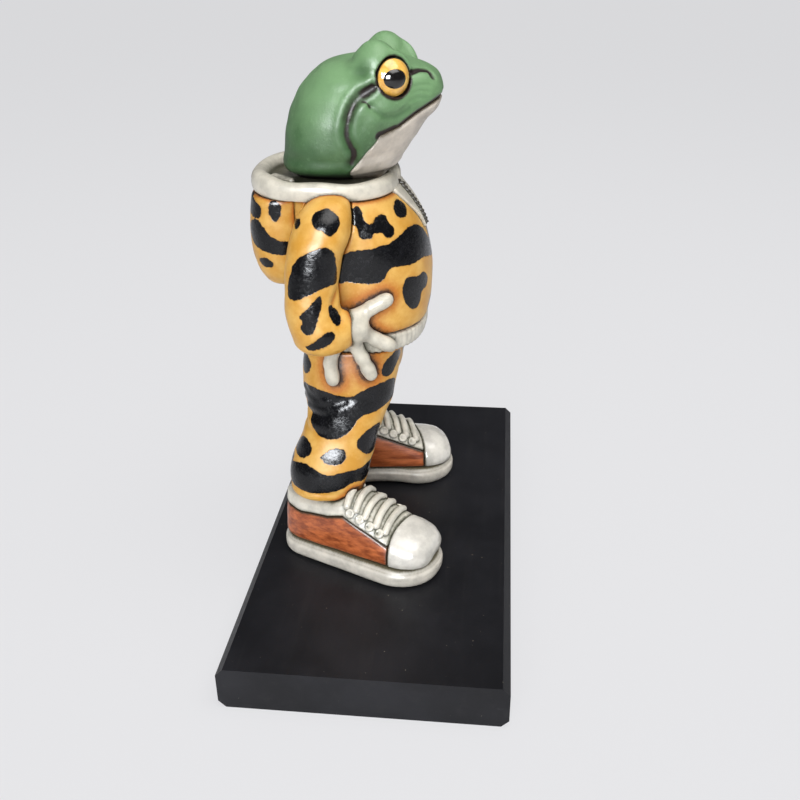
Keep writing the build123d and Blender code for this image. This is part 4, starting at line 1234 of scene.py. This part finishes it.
def make_jacket():
    body = mesh_node(torso, "jacket_body", BODY_STEP)
    points = body[0]
    # Wash and painted shade beside the sleeves, pouch, hand, hem band and hood.
    wash = most(
        near(points, folded(sleeve), hood_pouch, reach=0.7) * below_shoulder(points),
        1.1 * near(points, folded(hand), reach=1.9),
        near(points, hem_band, hood_lining, reach=0.6),
    )
    ink = print_gap(points, torso_body, torso, JACKET_BLACK_PIXELS, JACKET_BLACK_FLAT)
    add_piece("jacket_body", "print_jacket", jacket_cloth, body, print=ink, wash=wash)
    band = mesh_node(hem_band, "jacket_hem_band", BODY_STEP)
    # Wash and painted shade where the band meets the jacket, the hand and the legs.
    wash = most(
        near(band[0], torso, reach=0.3),
        near(band[0], folded(hand), reach=1.4),
        0.9 * near(band[0], folded(leg), reach=0.4),
    )
    add_piece("jacket_hem_band", "trim_white", trim, band, wash=wash)
    facing = mesh_node(placket, "front_placket", SMALL_STEP)
    # Wash and painted shade along the zip and the jacket.
    wash = most(near(facing[0], zip_strip, reach=0.3), 0.6 * near(facing[0], torso, reach=0.3))
    add_piece("front_placket", "trim_white", trim, facing, wash=wash)
    strip = mesh_node(zip_strip, "zip_strip", SMALL_STEP)
    paint = off_white("zip_paint", (86, 80, 70), (30, 27, 22))
    add_piece("zip_strip", "zip_dark", paint, strip, wash=np.full(len(strip[0]), 0.4))


def make_hood():
    pouch = mesh_node(hood_pouch, "hood_pouch", BODY_STEP)
    points = pouch[0]
    # Wash and painted shade where the pouch meets the jacket, sleeves and rim.
    wash = most(near(points, torso, folded(sleeve), reach=0.9), near(points, hood_lining, reach=0.6))
    ink = print_gap(points, pouch_body, hood_pouch, POUCH_BLACK_PIXELS, POUCH_BLACK_FLAT)
    add_piece("hood_pouch", "print_jacket", jacket_cloth, pouch, print=ink, wash=wash)
    rim = mesh_node(hood_lining, "hood_lining", BODY_STEP)
    points = rim[0]
    # Wash and painted shade under the head and where the rim meets the jacket, pouch and sleeves.
    wash = most(
        near(points, skull, reach=1.6),
        # Painted shade on the inside of the rim, darker lower down.
        rise(-rim_line(points), 0.3, 1.9) * rise(-points[:, 2], -122.2, -120.6),
        0.75 * near(points, torso, hood_pouch, folded(sleeve), reach=0.35),
    )
    add_piece("hood_lining", "trim_white", trim, rim, wash=wash)


def sleeve_above_hem(points):
    return smooth_max(sleeve(points), 0.15 - hem_body.distance(points), 0.4)


def make_sleeves():
    arm = mesh_node(sleeve_above_hem, "right_sleeve", BODY_STEP)
    points = arm[0]
    # Wash and painted shade beside the jacket, pouch, hand and hood, and in the elbow fold.
    wash = most(
        near(points, torso_body.distance, hood_pouch, reach=0.7) * below_shoulder(points),
        near(points, hand, reach=0.6),
        0.7 * bell(path_gap(points, elbow_fold), 0.8),
        near(points, hood_lining, reach=0.5),
    )
    ink = print_gap(points, arm_body, sleeve, SLEEVE_BLACK_PIXELS, SLEEVE_BLACK_FLAT)
    left_ink = print_gap(points, arm_body, sleeve, [], LEFT_SLEEVE_BLACK_FLAT)
    add_pair("sleeve", "print_jacket", jacket_cloth, arm, {"print": left_ink}, print=ink, wash=wash)
    palm = mesh_node(hand, "right_hand", SMALL_STEP)
    # Wash and painted shade where the hand lies on the jacket, legs, sleeve and hem.
    wash = most(near(palm[0], torso, leg, reach=0.45), near(palm[0], sleeve, hem_band, reach=0.35))
    glaze = off_white("hand_glaze", (203, 197, 181), (92, 84, 62))
    add_pair("hand", "hand_white", glaze, palm, wash=wash)


def make_trousers():
    cloth = printed("trouser_cloth")
    limb = mesh_node(leg, "right_trouser_leg", BODY_STEP)
    points = limb[0]
    # Wash and painted shade beside the hand, hem and shoe, in the knee folds and between the legs.
    wash = most(
        1.2 * near(points, hand, reach=2.2),
        near(points, hem_band, reach=0.7),
        near(points, lace_stay, laces, reach=0.8),
        # Painted shade down the middle, between the legs.
        0.8 * bell(points[:, 0], 0.9),
        *lines(points, [(path, 0.7, 0.8) for path, _, _ in knee_folds]),
    )
    ink = print_gap(points, leg_body, leg, LEG_BLACK_PIXELS, LEG_BLACK_FLAT)
    left_ink = print_gap(points, leg_body, leg, [], LEFT_LEG_BLACK_FLAT)
    add_pair("trouser_leg", "print_trousers", cloth, limb, {"print": left_ink}, print=ink, wash=wash)
    rump = mesh_node(seat, "trouser_seat", BODY_STEP)
    points = rump[0]
    # Wash and painted shade beside the legs and under the hem.
    wash = most(0.7 * near(points, folded(leg), reach=0.4), near(points, hem_band, reach=0.7))
    ink = print_gap(points, seat_body, seat, [], SEAT_BLACK_FLAT)
    add_piece("trouser_seat", "print_trousers", cloth, rump, print=ink, wash=wash)


# Lines of brown wash with painted shade, and of darker green painted shade, on the head: path, strength and
# width
head_wash = [
    (ear_fold, 2.1, 0.62), (ear_fold[:9], 0.62, 2.0), (ear_fold[:4], 1.0, 1.5), (ear_inner, 0.8, 0.55),
    (nostril_line, 1.3, 0.8),
]
head_shade = [(path, 0.35, 0.5) for path in snout_wrinkles]
head_shade += [(ear_fold, 0.7, 2.4), (cheek_crease, 0.6, 1.0)]


def make_head():
    mesh = mesh_node(head, "head", HEAD_STEP)
    points = right_side(mesh[0])
    along, across = gaze_frame(points)
    # Painted dark lines and brown wash, with painted shade in the creases, round the eye openings and where
    # the head sits in the hood.
    wash = most(
        *lines(points, head_wash),
        1.2 * bell(place_gap(points, nostril), 0.9),
        0.45 * bell(place_gap(points, ear_fold[-2]), 3.0),
        1.5 * mouth_line(points),
        0.9 * rise(-across, -EYE_OPENING - 0.9, -EYE_OPENING + 0.3) * rise(along, 0.9, 1.3),
        near(mesh[0], hood_lining, reach=0.9),
    )
    shade = most(*lines(points, head_shade), 0.9 * bell(place_gap(points, temple), 2.6))
    add_piece("head", "frog_green", green_paint(), mesh, wash=wash, shade=shade)
    chin = mesh_node(throat, "throat", HEAD_STEP)
    points = right_side(chin[0])
    # Painted mouth line, a soft edge to the green, and painted shade where the throat sits in the hood.
    wash = most(
        1.1 * mouth_line(points),
        0.4 * bell(throat_region(points), 0.6),
        near(chin[0], hood_lining, reach=1.0),
    )
    glaze = off_white("throat_glaze", (206, 196, 182), (96, 84, 68), 0.45, 0.1)
    add_piece("throat", "throat_white", glaze, chin, wash=wash)


def make_eyes():
    ball = mesh_node(eye, "right_eye", SMALL_STEP, 1.0)
    along, across = gaze_frame(ball[0])
    add_pair("eye", "eye_yellow", eye_paint(), ball, ring=across + 3 * (along < 0))
    disc = mesh_node(pupil, "right_pupil", SMALL_STEP * 0.7, 1.0)
    add_pair("pupil", "pupil_black", pupil_gloss(), disc)


def make_shoes():
    base = mesh_node(sole, "right_shoe_sole", SHOE_STEP)
    z = foot_frame(base[0])[:, 2]
    # Wash and painted shade against the upper, painted shade along the bottom of the sole where it stands on
    # the board, and a darker line at the welt.
    wash = most(
        near(base[0], lambda p: upper(foot_frame(p)), reach=0.5),
        0.35 * bell(z + 5.8, 0.7),
        0.4 * bell(z + 1.0, 0.4),
    )
    glaze = off_white("sole_glaze", (206, 200, 188), (88, 82, 62))
    add_pair("shoe_sole", "sole_white", glaze, base, wash=wash)
    cap_glaze = off_white("cap_glaze", (212, 208, 199), (96, 94, 80), 0.22, 0.6)
    for name, slot, material, shape in (
        ("shoe_quarter", "shoe_orange", shoe_paint(), quarter),
        ("toe_cap", "toe_white", cap_glaze, toe_cap),
        ("lace_stay", "lace_white", lace_glaze, lace_stay),
    ):
        mesh = mesh_node(shape, "right_" + name, SHOE_STEP)
        points = mesh[0]
        q = foot_frame(points)
        cap = cap_gap(q)
        # Wash and painted shade along the seams of the collar, toe cap and sole, and beside the laces,
        # eyelets and trouser cuff.
        wash = most(bell(stay_gap(q), 0.75) * (cap < 0.6), bell(cap, 0.6), bell(q[:, 2], 0.6))
        if name == "lace_stay":
            beside_laces = 0.85 * near(points, laces, reach=0.7)
            beside_eyelets = 0.8 * near(points, eyelets, reach=0.35)
            wash = most(0.8 * wash, beside_laces, beside_eyelets, near(points, leg, reach=0.9))
        if name == "toe_cap":
            wash = most(0.9 * bell(cap, 0.5), bell(q[:, 2] - 0.2, 0.45))
        add_pair(name, slot, material, mesh, wash=wash)
    cord = mesh_node(laces, "right_laces", SMALL_STEP)
    # Painted shade where the laces and eyelets meet the lace stay.
    add_pair("laces", "lace_white", lace_glaze, cord, wash=near(cord[0], lace_stay, reach=0.22))
    rings = mesh_node(eyelets, "right_eyelets", SMALL_STEP * 0.65)
    add_pair("eyelets", "lace_white", lace_glaze, rings, wash=near(rings[0], lace_stay, reach=0.2))


# Board and screws keep their solids
for node, material in (("base_board", board_paint()), ("mounting_screws", screw_steel())):
    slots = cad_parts[node].data.materials
    for index in range(len(slots)):
        slots[index] = material

make_shoes()
make_trousers()
make_jacket()
make_hood()
make_sleeves()
make_head()
make_eyes()


# Floor, lights and camera
FLOOR_TONE = tone(214, 214, 217)
FLOOR_GLOW = tone(228, 228, 230)
FLOOR_GLOW_PART = 0.86
FLOOR_SIZE = 8.0
FLOOR_Z = -0.0002
SKY_TONE = tone(232, 236, 242)
BACKDROP_TONE = tone(218, 218, 220)
SKY_STRENGTH = 0.34
SKY_GLOSSY_STRENGTH = 0.12
LAMP_SPREAD = 100.0


def show(tree, part, to_object, to_camera, output):
    """Show one shader to the object and part of another to the camera."""
    mixed = add_node(tree, "MixShader", {0: part, 1: to_object, 2: to_camera})
    join(tree, tree.nodes[output].inputs["Surface"], mixed)


def add_stage():
    """A wide pale floor, brighter to the camera than to the object, which keeps the shadow."""
    bpy.ops.mesh.primitive_plane_add(size=FLOOR_SIZE, location=(0, 0, FLOOR_Z))
    floor = bpy.context.object
    floor.name = "floor"
    material = bpy.data.materials.new("pale_floor")
    material.use_nodes = True
    tree = material.node_tree
    surface = tree.nodes["Principled BSDF"]
    surface.inputs["Base Color"].default_value = FLOOR_TONE
    surface.inputs["Roughness"].default_value = 0.9
    glow = add_node(tree, "Emission", {"Color": FLOOR_GLOW})
    to_camera = add_node(tree, "LightPath", {}, "Is Camera Ray")
    part = add_node(tree, "Math", {0: to_camera, 1: FLOOR_GLOW_PART}, operation="MULTIPLY")
    show(tree, part, surface.outputs[0], glow, "Material Output")
    floor.data.materials.append(material)


def add_world():
    world = bpy.data.worlds.new("studio")
    bpy.context.scene.world = world
    world.use_nodes = True
    tree = world.node_tree
    light = tree.nodes["Background"]
    light.inputs["Color"].default_value = SKY_TONE
    glossy = add_node(tree, "LightPath", {}, "Is Glossy Ray")
    strength = {"Value": glossy, "To Min": SKY_STRENGTH, "To Max": SKY_GLOSSY_STRENGTH}
    join(tree, light.inputs["Strength"], add_node(tree, "MapRange", strength))
    backdrop = add_node(tree, "Background", {"Color": BACKDROP_TONE})
    to_camera = add_node(tree, "LightPath", {}, "Is Camera Ray")
    show(tree, to_camera, light.outputs[0], backdrop, "World Output")


def set_pose(thing, place_mm, right, up, back):
    axes = Matrix(np.stack([right, up, back], axis=1).tolist()).to_4x4()
    thing.matrix_world = Matrix.Translation((np.array(place_mm) * MM).tolist()) @ axes


def add_lamp(name, place_mm, target_mm, size_mm, power, colour, seen_by="both"):
    """A lamp seen by matt surfaces, by shine or by both."""
    light = bpy.data.lights.new(name, "AREA")
    light.shape = "RECTANGLE"
    light.size, light.size_y = size_mm[0] * MM, size_mm[1] * MM
    light.energy = power
    light.color = colour
    light.spread = math.radians(LAMP_SPREAD)
    lamp = add_object(name, light)
    lamp.visible_diffuse = seen_by != "shine"
    lamp.visible_glossy = seen_by != "matt"
    run = np.array(target_mm, float) - np.array(place_mm, float)
    run /= np.linalg.norm(run)
    side = np.cross(run, [0, 0, 1])
    side /= np.linalg.norm(side)
    set_pose(lamp, place_mm, side, np.cross(side, run), -run)


def add_camera():
    data = bpy.data.cameras.new("camera")
    data.sensor_width = 36.0
    data.lens = FOCAL_PIXELS * data.sensor_width / PICTURE_WIDTH
    data.clip_start = 0.01
    data.clip_end = 20.0
    camera = add_object("camera", data)
    right, up, ahead = camera_axes()
    set_pose(camera, CAMERA_PLACE, right, up, -ahead)
    bpy.context.scene.camera = camera


add_stage()
add_world()
add_lamp("window", (-790, 100, 360), (0, 5, 95), (520, 380), 8.0, (0.93, 0.96, 1.0), "shine")
add_lamp("fill", (-800, 90, 330), (0, 5, 95), (560, 440), 1.9, (0.97, 0.985, 1.0), "matt")
add_lamp("sky", (-150, -250, 900), (0, 0, 80), (800, 800), 3.1, (1.0, 0.985, 0.965))
add_camera()
bpy.context.scene.view_settings.view_transform = "Standard"
